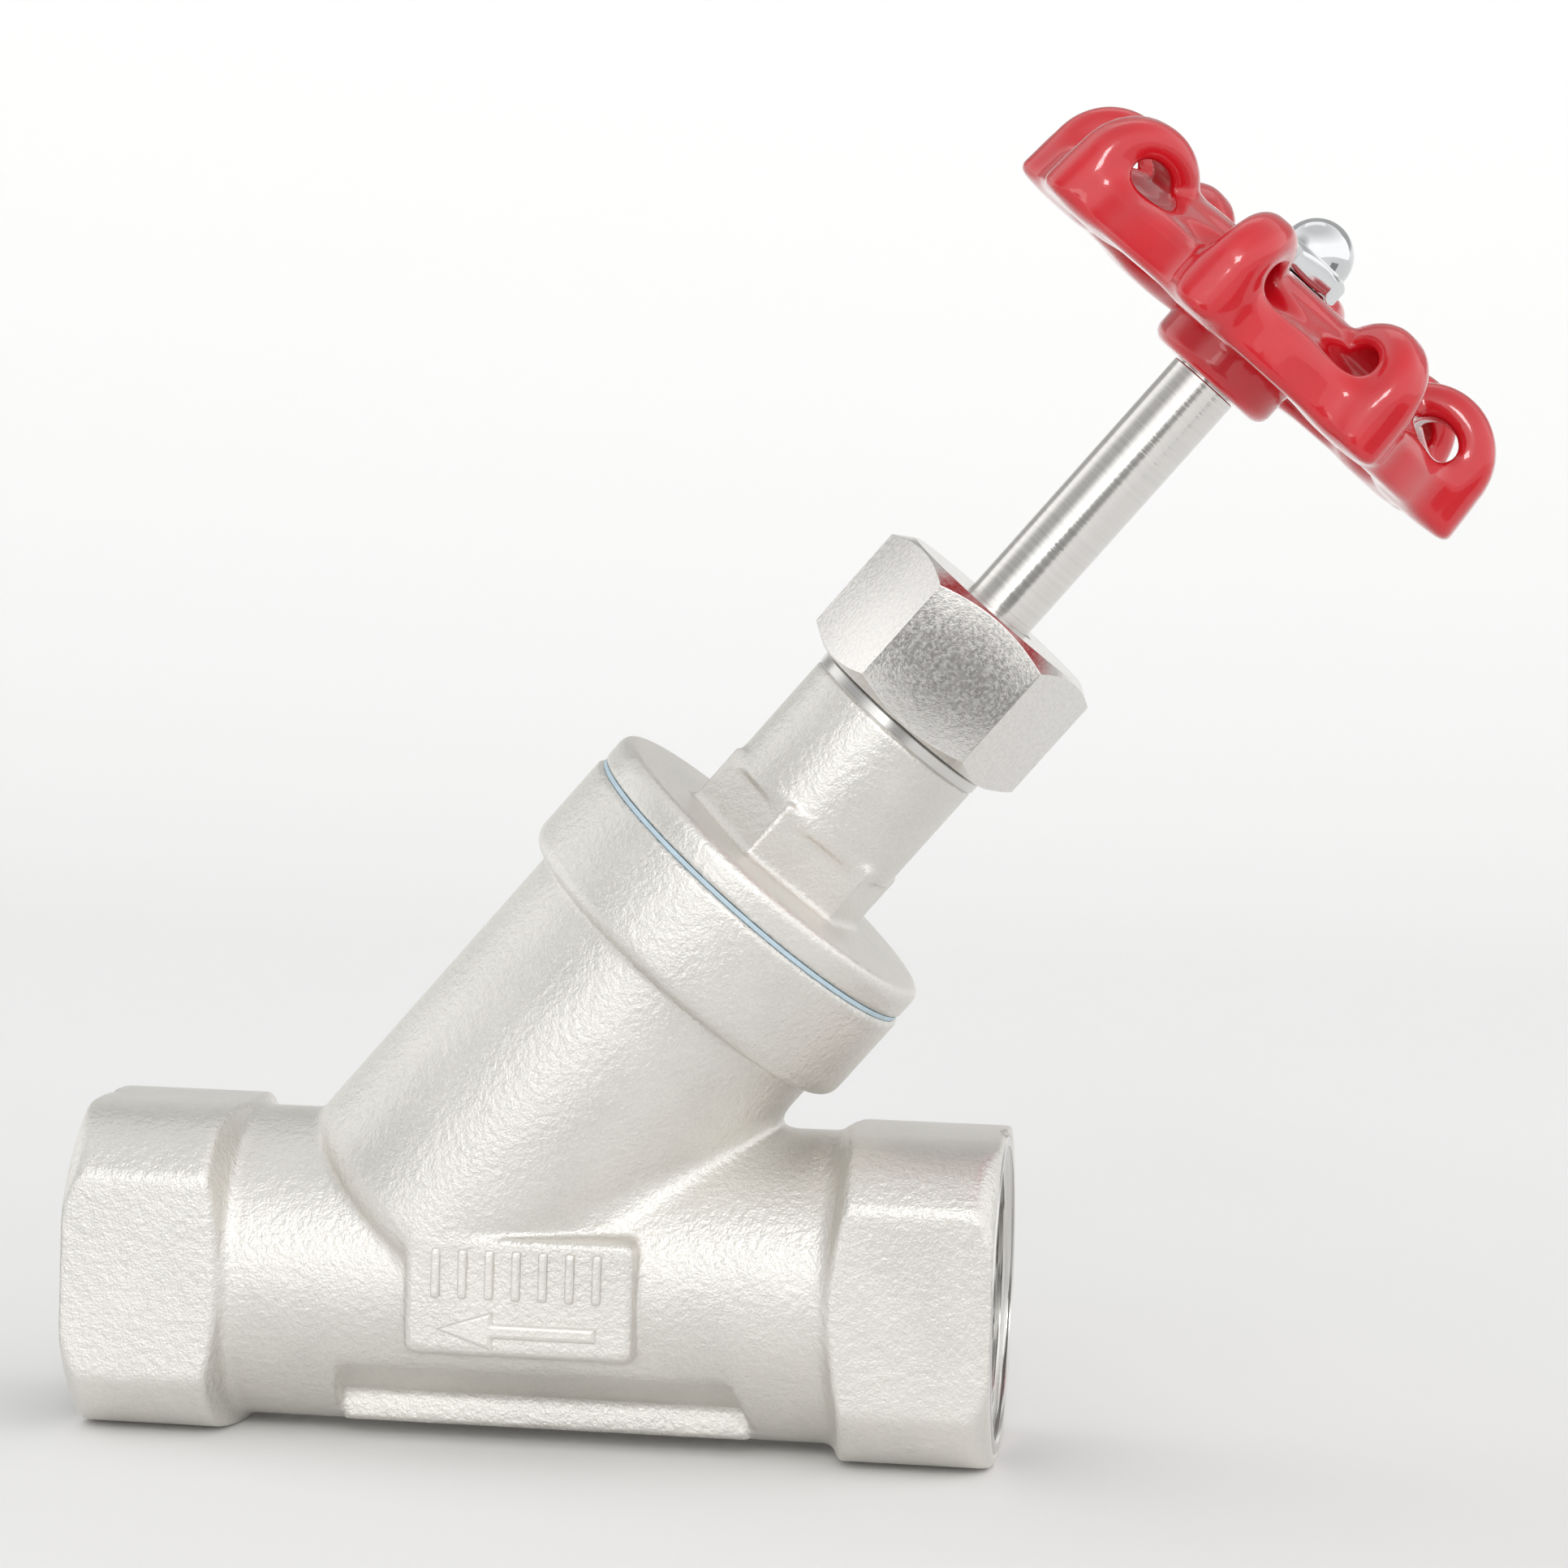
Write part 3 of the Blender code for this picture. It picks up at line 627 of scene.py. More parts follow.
def new_geometry_tree(name, **inputs):
    """A geometry tree and the sockets of its inputs: Geometry and the named ones."""
    group = bpy.data.node_groups.new(name, "GeometryNodeTree")
    for way in ("INPUT", "OUTPUT"):
        group.interface.new_socket("Geometry", in_out=way, socket_type="NodeSocketGeometry")
    for label, default in inputs.items():
        socket = group.interface.new_socket(label, in_out="INPUT",
                                            socket_type=SOCKETS[type(default)])
        if default is not None:
            socket.default_value = default
    tree = Tree(group)
    return tree, tree.add("NodeGroupInput").outputs


def close_tree(tree, last, material):
    """Realize Instances, Set Material and the group's output."""
    real = tree.add("GeometryNodeRealizeInstances", last.outputs[:1])
    painted = tree.add("GeometryNodeSetMaterial", {"Geometry": real.outputs[0],
                                                   "Material": material})
    tree.add("NodeGroupOutput", painted.outputs[:1])
    return tree.tree


def helical_thread_tree():
    """Moves the points marked by the attribute 'thread' in and out along a helix about Z."""
    tree, given = new_geometry_tree("helical_thread", Pitch=2.3, Depth=1.5, Material=None)
    x, y, z = tree.separate(tree.add("GeometryNodeInputPosition").outputs[0])
    about = tree.calculate("ARCTAN2", y, x) / math.tau
    turn = tree.calculate("FRACT", z / tree.wire(given["Pitch"]) - about)
    flank = tree.calculate("ABSOLUTE", turn * 2.0 - 1.0)
    height = tree.ramp(flank, 0.12, 0.88) * tree.wire(given["Depth"])
    weight = tree.add("GeometryNodeInputNamedAttribute", {"Name": "thread"},
                      data_type="FLOAT").outputs["Attribute"]
    outward = tree.vector("NORMALIZE", tree.combine(x, y))
    offset = tree.add("ShaderNodeVectorMath", {0: outward, "Scale": height * tree.wire(weight)},
                      operation="SCALE")
    moved = tree.add("GeometryNodeSetPosition", {"Geometry": given["Geometry"],
                                                 "Offset": offset.outputs[0]})
    return close_tree(tree, moved, given["Material"])


def raised_marks_tree():
    """A row of rounded bars along +X, one every spacing."""
    tree, given = new_geometry_tree("raised_marks", Count=4, Spacing=5.0, Length=5.0,
                                    Width=1.2, Height=0.5, Material=None)
    inputs = {"Count": given["Count"], "Offset": tree.combine(given["Spacing"])}
    line = tree.add("GeometryNodeMeshLine", inputs, mode="OFFSET")
    block = tree.add("GeometryNodeMeshCube", [(2.0, 2.0, 2.0), 3, 3, 8])
    soft = tree.add("GeometryNodeSubdivisionSurface", {"Mesh": block.outputs[0], "Level": 2})
    stretch = tree.combine(given["Width"], given["Height"], given["Length"])
    bar = tree.add("GeometryNodeTransform", {"Geometry": soft.outputs[0], "Scale": stretch})
    spread = tree.add("GeometryNodeInstanceOnPoints", {"Points": line.outputs[0],
                                                       "Instance": bar.outputs[0]})
    return close_tree(tree, spread, given["Material"])


def grow(name, verts, faces, group, values, weights=None):
    """Run a geometry tree on a mesh and return the plain result, in millimetres."""
    mesh = bpy.data.meshes.new(name + "_seed")
    mesh.from_pydata(verts, [], faces)
    if weights is not None:
        mesh.attributes.new("thread", "FLOAT", "POINT").data.foreach_set("value", weights)
    holder = link(name + "_seed", mesh)
    modifier = holder.modifiers.new(group.name, "NODES")
    modifier.node_group = group
    for item in group.interface.items_tree:
        if item.item_type == "SOCKET" and item.in_out == "INPUT" and item.name in values:
            modifier[item.identifier] = values[item.name]
    result = plain_mesh(holder)
    bpy.data.objects.remove(holder, do_unlink=True)
    return result


def grow_thread(name, outline, weight, sides, **values):
    """A spun outline with a helical thread where its points have weight."""
    counts = [1 if radius < 1e-6 else sides for radius, _ in outline]
    weights = np.repeat(np.array(weight, dtype=np.float32), counts)
    return grow(name, *revolve(outline, sides), helical_thread_tree(), values, weights)


# ---- body casting

def about_stem(x, y, z):
    """Height along the inclined stem axis, offset across it, and distance from it."""
    s = x * math.cos(LEAN) + z * math.sin(LEAN)
    w = x * math.sin(LEAN) - z * math.cos(LEAN)
    return s, w, np.sqrt(y * y + w * w)


def casting_outside(sizes, left, right):
    """Distance function of the casting's outer skin."""
    neck, branch, collar = (sizes.neck_diameter / 2, sizes.branch_diameter / 2,
                            sizes.collar_diameter / 2)
    corner, flats = sizes.end_corners / 2, sizes.end_flats / 2
    top, reach = sizes.body_top, sizes.end_length
    ring = sizes.ring_diameter / 2 + 0.1
    recess = 0.12

    def wrenching_block(x, y, z, away):
        """One end block: x counts inwards from its face."""
        nose = beyond_line(x, away, (2.6, corner), (0.0, ring))
        shoulder = beyond_line(x, away, (reach + 1.4, neck), (reach - 1.2, corner))
        return cut(away - corner, (np.abs(z) - flats, 5.0), (np.abs(y) - flats, 0.7),
                   (recess - x, 0.25), (nose, 0.8), (shoulder, 0.8))

    def distance(x, y, z):
        away = np.sqrt(y * y + z * z)
        s, w, around = about_stem(x, y, z)
        run = np.maximum(away - neck, np.maximum(left + 5 - x, x - right + 5))
        tube = cut(around - branch, (sizes.branch_start - s, 6.0), (s - top + 2, 0.5))
        cup = cut(around - collar, (sizes.collar_start - s, 3.0), (s - top, 0.6))
        crease = 1.4 + 2.6 * np.clip((w + 4.0) / 16.0, 0.0, 1.0)
        shape = join(run, (soft_min(tube, cup, 0.9), crease),
                     (wrenching_block(x - left, y, z, away), 1.2),
                     (wrenching_block(right - x, y, z, away), 1.8),
                     (marking_pad(x, y, z, sizes.pad_face), 0.7), (keel_foot(x, y, z), 0.6))
        return soft_max(shape, -keel_relief(x, y, z, sizes.keel_width / 2), 0.8)

    return distance


def marking_pad(x, y, z, face):
    """Distance to the raised pad on the front of the run, whose sides have a slight draft."""
    middle, half, edge, draft = (22.55, 0.1), (18.45, 9.7), 2.0, 0.12
    plan = rounded_corner(np.abs(x - middle[0]) - half[0], np.abs(z - middle[1]) - half[1], edge)
    return cut(plan + draft * (-y - 26.0), (-y - face, 0.9), (y + 20.0, 0.5))


def keel_foot(x, y, z):
    """Distance to the keel's flat foot, a little shorter than the reliefs beside it."""
    section = np.maximum(np.abs(y) - 12.9, np.abs(z + 20.6) - 3.0)
    return np.maximum(section, keel_ends(x, z) + 0.6)


def keel_relief(x, y, z, half):
    """Distance to the two reliefs that leave the keel under the run."""
    side = np.abs(y)
    root = (half, -18.6)
    slope = beyond_line(side, z, root, (30.0, -7.9))
    ledge = beyond_line(side, z, (half + 0.9, -23.6), root)
    return cut(-slope, (-ledge, 0.5), (keel_ends(x, z), 0.9))


def keel_ends(x, z):
    """Distance to the slanted ends of the reliefs, inside which it is negative."""
    return np.maximum(beyond_line(x, z, (-7.3, -8.0), (-9.3, -24.0)),
                      beyond_line(x, z, (59.2, -24.0), (54.2, -8.0)))


def casting_inside(sizes, left, right):
    """Distance function of the waterway, the port and the branch bore."""
    water, bore = sizes.waterway / 2, sizes.branch_bore / 2
    port, mouth, mouth_start = sizes.port / 2, sizes.bonnet_bore / 2, 69.0
    seat, under = sizes.seat_plane, sizes.seat_plane - sizes.bulkhead
    seat_width, seat_height = 2.5, 1.5
    sleeve_depth, ring_depth = 21.6, 1.0

    def distance(x, y, z):
        away = np.sqrt(y * y + z * z)
        s, _, around = about_stem(x, y, z)
        lower = soft_max(away - water, s - under, 1.5)
        upper = soft_max(away - water, seat + 1.7 - s, 1.5)
        hole = soft_max(around - port, np.abs(s - 6.0) - 10.0, 0.3)
        ring = soft_max(around - port - seat_width, s - seat - seat_height, 0.6)
        chest = cut(around - bore, (seat - s, 0.8), (-ring, 0.5))
        top = soft_max(around - mouth, mouth_start - s, 0.6)
        inward = np.minimum(x - left, right - x)
        hollow = soft_min(np.minimum(lower, upper), chest, 1.0)
        for part in (hole, top,
                     np.maximum(away - (SLEEVE_RADIUS + SLEEVE_GAP), inward - sleeve_depth),
                     np.maximum(away - RING_RADIUS - SLEEVE_GAP, inward - ring_depth)):
            hollow = np.minimum(hollow, part)
        return hollow

    return distance


class VALVE_OT_casting(bpy.types.Operator):
    """Make the body casting"""
    bl_idname = "valve.casting"
    bl_label = "Body casting"

    def execute(self, context):
        sizes = context.scene.valve_casting
        left, right = run_faces(context)
        outside = casting_outside(sizes, left, right)
        inside = casting_inside(sizes, left, right)

        def distance(x, y, z):
            return soft_max(outside(x, y, z), -inside(x, y, z), 0.5)

        side = sizes.collar_diameter / 2 + 1
        steel = cast_steel("cast_steel_body", context.scene.valve_finishes.cast)
        add_sampled("casting", distance, (left - 1, -side, -sizes.end_flats / 2 - 1),
                    (right + 1, side, 86.0), sizes.step, 0.82, run_matrix(context), steel,
                    "valve_body", "body_casting", "cast_steel")
        return {"FINISHED"}


class VALVE_OT_mouths(bpy.types.Operator):
    """Make the threaded and faced mouth at each end of the run"""
    bl_idname = "valve.mouths"
    bl_label = "Threaded mouths"

    def execute(self, context):
        thread = context.scene.valve_thread
        left, right = run_faces(context)
        steel = turned_steel("turned_steel_mouth", context.scene.valve_finishes.turned,
                             crossing_point(context)[0], (1.0, 0.0, 0.0))
        for name, face, way in (("mouth_left", left, 1.0), ("mouth_right", right, -1.0)):
            mesh = grow_thread(name, *mouth_sleeve(thread), 120, Pitch=thread.pitch,
                               Depth=thread.depth, Material=steel)
            turn = Matrix.Rotation(math.radians(90.0 * way), 4, "Y")
            mesh.transform(run_matrix(context) @ Matrix.Translation((face, 0, 0)) @ turn)
            finish_piece(name, mesh, "valve_body", None, "cast_steel", 40)
        return {"FINISHED"}


def mouth_sleeve(thread):
    """A closed sleeve's outline along +Z from its face at 0, and its inner thread's weights."""
    crest, ring, lead, fade = thread.minor / 2, RING_RADIUS, 1.6, 3.0
    rows = 110
    outline = [(crest + 2.2, 0.0), (ring - 0.2, 0.0), (ring, 0.2), (ring, 0.9),
               (SLEEVE_RADIUS, 0.9), (SLEEVE_RADIUS, thread.length),
               (crest + 1.7, thread.length)]
    weight = [0.0] * len(outline)
    for row in range(rows + 1):
        depth = thread.length * (1 - row / rows)
        outline.append((crest + max(0.0, lead - depth), depth))
        weight.append(min(1.0, (thread.length - depth) / fade)
                      * max(0.0, min(1.0, depth / lead)))
    return outline, weight


class VALVE_OT_markings(bpy.types.Operator):
    """Make the cast flow arrow and the row of plain raised marks"""
    bl_idname = "valve.markings"
    bl_label = "Cast markings"

    def execute(self, context):
        face, place = context.scene.valve_casting.pad_face, run_matrix(context)
        steel = cast_steel("cast_steel_marks", context.scene.valve_finishes.cast, 0.6)
        add_piece("flow_arrow", *raised_arrow((9.7, -5.1), 34.9, face), place, steel,
                  "valve_body", None, "cast_steel", 10)
        values = {"Count": 7, "Spacing": 4.3, "Length": 4.0, "Width": 0.75, "Height": 0.6,
                  "Material": steel}
        mesh = grow("raised_marks", [(0, 0, 0)], [], raised_marks_tree(), values)
        mesh.transform(place @ Matrix.Translation((9.2, -face, 3.8)))
        finish_piece("raised_marks", mesh, "valve_body", None, "cast_steel")
        return {"FINISHED"}


def raised_arrow(tip, tail, face):
    """A soft-edged arrow from the X of its tail to its tip, standing 0.6 above the pad."""
    x, z = tip
    barb, shaft, head = x + 8.6, 0.95, 2.8
    outline = [(x, 0.0), (barb, -head), (barb, -shaft), (tail, -shaft), (tail, shaft),
               (barb, shaft), (barb, head)]
    levels = [(0.35, -0.6), (0.25, 0.25), (-0.05, 0.5), (-0.45, 0.6)]
    verts = [(a, -face - height, z + b) for spread, height in levels
             for a, b in offset_outline(outline, spread)]
    faces = []
    count = len(outline)
    last = (len(levels) - 1) * count
    for base in range(0, last, count):
        for k in range(count):
            m = (k + 1) % count
            faces.append([base + k, base + m, base + count + m, base + count + k])
    faces.append(list(reversed(range(count))))
    for cap in ((0, 1, 6), (2, 3, 4, 5), (1, 2, 5, 6)):
        faces.append([last + k for k in cap])
    return verts, faces


def offset_outline(points, amount):
    """Each corner of an outline moved outwards along its two edges' mean normal."""
    result = []
    for index, point in enumerate(points):
        here = Vector(point)
        into = (here - Vector(points[index - 1])).normalized()
        out = (Vector(points[(index + 1) % len(points)]) - here).normalized()
        first, second = Vector((into.y, -into.x)), Vector((out.y, -out.x))
        mean = (first + second) / max(0.6, 1.0 + first.dot(second))
        result.append(tuple(here + mean * amount))
    return result


# ---- bonnet and packing nut

def bonnet_shape(sizes):
    """Distance function of the cast bonnet, with its spigot and bores."""
    flange, barrel = sizes.flange_diameter / 2, sizes.barrel_diameter / 2
    start, hex_end, hex_corner = sizes.flange_start, sizes.hex_end, 17.9

    def distance(x, y, z):
        away = np.sqrt(x * x + y * y)
        about = np.arctan2(x, -y) - sizes.hex_turn
        fold = np.mod(about + math.pi / 6, math.pi / 3) - math.pi / 6
        base = cut(away * np.cos(fold) - sizes.hex_flats / 2, (away - hex_corner, 0.8),
                   (z - hex_end, 1.0), (start + 1 - z, 0.3))
        column = cut(away - barrel, (z - sizes.barrel_end, 0.5), (hex_end - 2.0 - z, 0.3))
        plate = cut(away - flange, (z - sizes.flange_end, 2.2), (start - z, 0.6))
        shape = join(base, (column, 0.9), (plate, 1.6))
        spigot = soft_max(away - 25.7, np.maximum(71.0 - z, z - 86.0), 0.5)
        chamber = np.maximum(away - 12.0, 100.0 - z)
        stem_hole = away - np.where(z < 92.0, 5.6, 6.3)
        cup = np.maximum(away - 17.0, z - 76.0)
        shape = np.minimum(shape, spigot)
        for hollow in (chamber, stem_hole, cup):
            shape = np.maximum(shape, -hollow)
        return shape

    return distance


class VALVE_OT_bonnet(bpy.types.Operator):
    """Make the bonnet casting, its turned top and the gasket under it"""
    bl_idname = "valve.bonnet"
    bl_label = "Bonnet and gasket"

    def execute(self, context):
        sizes, tones = context.scene.valve_bonnet, context.scene.valve_finishes
        place = stem_matrix(context)
        reach = sizes.flange_diameter / 2 + 1
        steel = cast_steel("cast_steel_bonnet", tones.cast, 0.85)
        add_sampled("bonnet_casting", bonnet_shape(sizes), (-reach, -reach, 70.0),
                    (reach, reach, sizes.barrel_end + 1), 0.6, 0.8, place, steel,
                    "valve_body", "bonnet", "cast_steel")
        bright = turned_steel("turned_steel_bonnet", tones.turned, *crossing_point(context))
        top, barrel = sizes.barrel_end, sizes.barrel_diameter / 2
        chamber, hole, floor, spigot, spigot_top = 11.9, 6.3, 100.6, 14.0, 139.0
        neck = [(hole, floor), (chamber, floor), (chamber, top - 0.2), (barrel - 0.4, top - 0.2),
                (barrel + 0.1, top + 0.3), (barrel + 0.1, top + 1.8), (barrel - 0.3, top + 2.1),
                (spigot, top + 2.1), (spigot, spigot_top), (10.0, spigot_top), (10.0, 117.0),
                (hole, 117.0)]
        add_turned("bonnet_top", neck, 96, place, bright, "valve_body", None, "cast_steel", 30)
        add_turned("gasket", ring_outline(26.3, 31.6, 83.95, 84.7, 0.15), 120, place,
                   soft_seal("gasket_sheet", tones.gasket), "valve_body", "bonnet_gasket",
                   "gasket_blue")
        return {"FINISHED"}


class VALVE_OT_packing_nut(bpy.types.Operator):
    """Make the packing nut"""
    bl_idname = "valve.packing_nut"
    bl_label = "Packing nut"

    def execute(self, context):
        sizes = context.scene.valve_bonnet
        low, high = sizes.nut_start, sizes.nut_end
        bore, hole, roof = 14.3, 6.4, 141.1
        outline = [(bore, roof), (bore, low + 0.6), (14.9, low),
                   *hexagon_sides(sizes.nut_flats, low, high),
                   (7.0, high), (hole, high - 0.6), (hole, roof)]
        steel = milled_steel("milled_steel_nut", context.scene.valve_finishes.polished)
        add_turned("packing_nut_hexagon", outline, 144, stem_matrix(context), steel,
                   "valve_body", "packing_nut", "polished_steel", 20, turn=sizes.nut_turn)
        return {"FINISHED"}


# ---- stem and fastening

class VALVE_OT_stem(bpy.types.Operator):
    """Make the rising stem with its trapezoidal thread"""
    bl_idname = "valve.stem"
    bl_label = "Stem"

    def execute(self, context):
        hub = context.scene.valve_wheel.hub_bottom
        steel = turned_steel("polished_steel_stem", context.scene.valve_finishes.polished,
                             *crossing_point(context), 0.17, 1300.0)
        low, rows, fade, end = 47.8, 150, 6.0, 221.4
        lower = [(0.0, low), (7.0, low), (7.5, low + 0.5), (7.5, low + 4.0), (4.0, low + 4.0),
                 (4.0, low + 9.0), (5.6, low + 9.0), (5.6, 72.0)]
        core = [(4.45, 73.0 + 42.5 * row / rows) for row in range(rows + 1)]
        upper = [(6.0, 116.5), (6.0, hub - 0.5), (5.8, hub - 0.3), (4.9, hub - 0.3),
                 (4.9, 210.4), (4.0, 210.4), (4.0, end - 0.6), (3.4, end), (0.0, end)]
        weight = ([0.0] * len(lower)
                  + [min(1.0, row / fade, (rows - row) / fade) for row in range(rows + 1)]
                  + [0.0] * len(upper))
        mesh = grow_thread("stem_bar", lower + core + upper, weight, 64, Pitch=3.0, Depth=1.0,
                           Material=steel)
        mesh.transform(stem_matrix(context))
        finish_piece("stem_bar", mesh, "stem_assembly", "stem", "polished_steel", 35)
        return {"FINISHED"}


class VALVE_OT_fastening(bpy.types.Operator):
    """Make the acorn nut and the washers above the hub"""
    bl_idname = "valve.fastening"
    bl_label = "Acorn nut and washers"

    def execute(self, context):
        sizes, tones = context.scene.valve_wheel, context.scene.valve_finishes
        place = stem_matrix(context)
        chrome = chrome_plate("chrome_acorn", tones.chrome)
        steel = chrome_plate("bright_washers", tones.polished)
        seat = sizes.span_top - HUB_DROP + 0.3
        bore = 4.3
        add_turned("flat_washer", ring_outline(bore, 8.4, seat, seat + 1.4, 0.3), 64, place,
                   steel, "stem_assembly", "wheel_flat_washer", "polished_steel", 35)
        add_piece("spring_washer", *split_ring(bore, 6.6, seat + 1.7, 1.8), place, steel,
                  "stem_assembly", "wheel_spring_washer", "polished_steel", 35)
        base, height, dome, steps = seat + 3.8, 4.4, 6.05, 16
        outline = [(bore, base + 7.5), (bore, base),
                   *hexagon_sides(13.0, base, base + height, 0.3, 30.0),
                   (dome + 0.1, base + height), (dome, base + height + 0.2)]
        for step in range(steps):
            a = math.radians(90.0 * step / steps)
            outline.append((dome * math.cos(a), sizes.tip - dome + dome * math.sin(a)))
        outline += [(0.0, sizes.tip), (0.0, base + 8.0)]
        add_turned("acorn", outline, 96, place, chrome, "stem_assembly", "acorn_nut",
                   "chrome_plate", 25, turn=0.3)
        return {"FINISHED"}


def split_ring(inner, outer, low, height):
    """A spring washer: one turn of a square bar with a slanted gap."""
    steps, lift, soft = 60, 0.35, 0.2
    verts = []
    for k in range(steps + 1):
        a = math.radians(6.0) + math.radians(348.0) * k / steps
        rise = lift * (k / steps - 0.5)
        for radius, z in ((inner, soft), (outer, soft), (outer, height - soft),
                          (inner, height - soft)):
            verts.append((radius * math.cos(a), radius * math.sin(a), low + z + rise))
    faces = [[4 * k + (row + 1) % 4, 4 * k + 4 + (row + 1) % 4, 4 * k + 4 + row, 4 * k + row]
             for k in range(steps) for row in range(4)]
    return verts, faces + [[0, 1, 2, 3], [4 * steps + row for row in (3, 2, 1, 0)]]


# ---- handwheel

def wheel_shape(sizes):
    """Distance function of the handwheel casting."""
    pitch = math.tau / sizes.lobes
    bottom, rim = sizes.rim_bottom, sizes.rim_radius
    arch_radius, arch_height, arch = 34.2, 9.1, 11.2
    half_width, ease = 4.2, 3.6

    def folded(about, gap):
        """Angle from the nearest hump or spoke, when they stand a gap apart."""
        return np.mod(about - sizes.phase + gap / 2, gap) - gap / 2

    def rounded_box(u, v, low, high, edge):
        """A box in two directions with rounded corners."""
        return rounded_corner(*(np.abs(value - (low[k] + high[k]) / 2) - (high[k] - low[k]) / 2
                                for k, value in enumerate((u, v))), edge)

    def distance(x, y, z):
        away = np.sqrt(x * x + y * y)
        about = np.arctan2(x, -y)
        near = folded(about, pitch)
        up = z - bottom
        radial, side = away * np.cos(near), away * np.sin(near)
        band = rounded_box(away + 0.08 * up, up, (rim - 8.6, 0.0), (rim, 8.4), 2.2)
        draft = np.clip(arch_height - up, 0, 9) * 0.08
        over = np.where(up > arch_height, np.hypot(radial - arch_radius, up - arch_height),
                        np.abs(radial - arch_radius) - draft) - arch
        over = cut(over, (-up, 2.0), (beyond_line(radial, up, (20.0, 7.5), (34.0, 0.0)), 1.0))
        ear = rounded_corner(over, np.abs(side) - half_width, ease)
        skirt = np.abs(beyond_line(away, up, (26.0, 11.9), (41.0, 5.0))) - 2.6
        skirt = cut(skirt, (away - 38.5, 1.0), (24.0 - away, 1.0))
        collar = rounded_box(away, z, (20.6, bottom + 5.2), (28.4, sizes.span_top), 2.2)
        eye = np.sqrt(((radial - 34.4) / 4.4) ** 2 + ((up - 11.4) / 3.4) ** 2
                      + (side / 12.2) ** 2) - 1.0
        shape = soft_max(soft_min(band, ear, sizes.fillet), -up, 2.4)
        shape = soft_max(join(shape, (skirt, 1.6), (collar, 2.0)), -3.4 * eye, 1.4)
        spoke_fold = folded(about, 2 * pitch)
        radial, side = away * np.cos(spoke_fold), away * np.sin(spoke_fold)
        spoke = capsule(radial, side * 0.8, up, (8.0, 0.0, 5.0), (22.5, 0.0, 8.6), 3.4)
        hub = rounded_box(away, z, (-30.0, sizes.hub_bottom),
                          (sizes.hub_radius, sizes.span_top - HUB_DROP), 2.4)
        return np.maximum(join(shape, (spoke, 2.5), (hub, 2.0)), 5.2 - away)

    return distance


class VALVE_OT_handwheel(bpy.types.Operator):
    """Make the lobed handwheel"""
    bl_idname = "valve.handwheel"
    bl_label = "Handwheel"

    def execute(self, context):
        sizes = context.scene.valve_wheel
        reach = sizes.reach + 1
        enamel = red_enamel("enamel_red", context.scene.valve_finishes.enamel)
        add_sampled("handwheel_casting", wheel_shape(sizes),
                    (-reach, -reach, sizes.hub_bottom - 1),
                    (reach, reach, sizes.rim_bottom + 23), sizes.step, 0.9,
                    stem_matrix(context), enamel, "stem_assembly", "handwheel", "red_enamel")
        return {"FINISHED"}


# ---- carried-over pieces

class VALVE_OT_inner_pieces(bpy.types.Operator):
    """Give the disc, seals and packing their finishes"""
    bl_idname = "valve.inner_pieces"
    bl_label = "Disc, seals and packing"

    def execute(self, context):
        tones = context.scene.valve_finishes
        steel = turned_steel("turned_steel_inner", tones.turned, *crossing_point(context), 0.26)
        polymer = soft_seal("polymer_white", tones.polymer, 0.45)
        metal = ("disc_holder", "disc_swivel_nut", "seal_retainer", "seal_nut",
                 "split_collar_1", "split_collar_2", "packing_base_ring", "gland_follower")
        soft = ("disc_seal_ring", *(f"packing_ring_{k}" for k in range(1, 5)))
        for nodes, material in ((metal, steel), (soft, polymer)):
            for node in nodes:
                for slot in frame["nodes"][node].material_slots:
                    slot.material = material
        return {"FINISHED"}


# ---- stage

class VALVE_OT_stage(bpy.types.Operator):
    """Make the sweep, the lights and the camera"""
    bl_idname = "valve.stage"
    bl_label = "Stage"

    def execute(self, context):
        make_sweep(context.scene.valve_finishes.floor)
        make_world(context.scene)
        make_lights()
        make_cards()
        make_camera(context)
        context.scene.view_settings.view_transform = "Standard"
        return {"FINISHED"}


def add_stage(name, verts, faces, material, place=None, hidden_from=()):
    """A mesh of the stage, placed in metres."""
    mesh = bpy.data.meshes.new(name)
    mesh.from_pydata(verts, [], faces)
    mesh.materials.append(material)
    mesh.shade_smooth()
    if place:
        mesh.transform(place)
    thing = link(name, mesh)
    for ray in hidden_from:
        setattr(thing, "visible_" + ray, False)


def aimed(place, target, axis):
    """A transform at a place whose axis points at a target."""
    turn = (Vector(target) - Vector(place)).to_track_quat(axis, "Y")
    return Matrix.Translation(place) @ turn.to_matrix().to_4x4()


def make_sweep(tone):
    """A pale floor that curves up into a backdrop; its colour holds painted light, lighter
    towards the back, and painted shade, much darker high up.
    """
    finish = Finish("sweep_paper", tone)
    mottle = finish.noise(6.0, 2.0, 0.5)
    _, depth, height = finish.separate(finish.place)
    # painted light: the paper is made up to 8% lighter towards the back
    paper_and_painted_light = finish.shades(finish.ramp(depth, 0.0, 0.45), 1.0, 1.08)
    # painted shade: from half a metre up, the paper darkens to under half its tone
    paper_and_painted_light = finish.blend(finish.ramp(height, 0.5, 0.8), paper_and_painted_light, rgba(tone, 0.45))
    finish.done(Base_Color=paper_and_painted_light, Roughness=mottle * 0.05 + 0.88)
    near, far, half, bend, top, steps = -1.6, 0.9, 2.5, 0.6, 2.4, 12
    outline = [(near, 0.0), (far, 0.0)]
    for step in range(1, steps + 1):
        a = math.radians(90.0 * step / steps)
        outline.append((far + bend * math.sin(a), bend - bend * math.cos(a)))
    outline.append((far + bend, top))
    verts = [(x, y, z) for y, z in outline for x in (-half, half)]
    faces = [[2 * k, 2 * k + 1, 2 * k + 3, 2 * k + 2] for k in range(len(outline) - 1)]
    add_stage("sweep", verts, faces, finish.material)


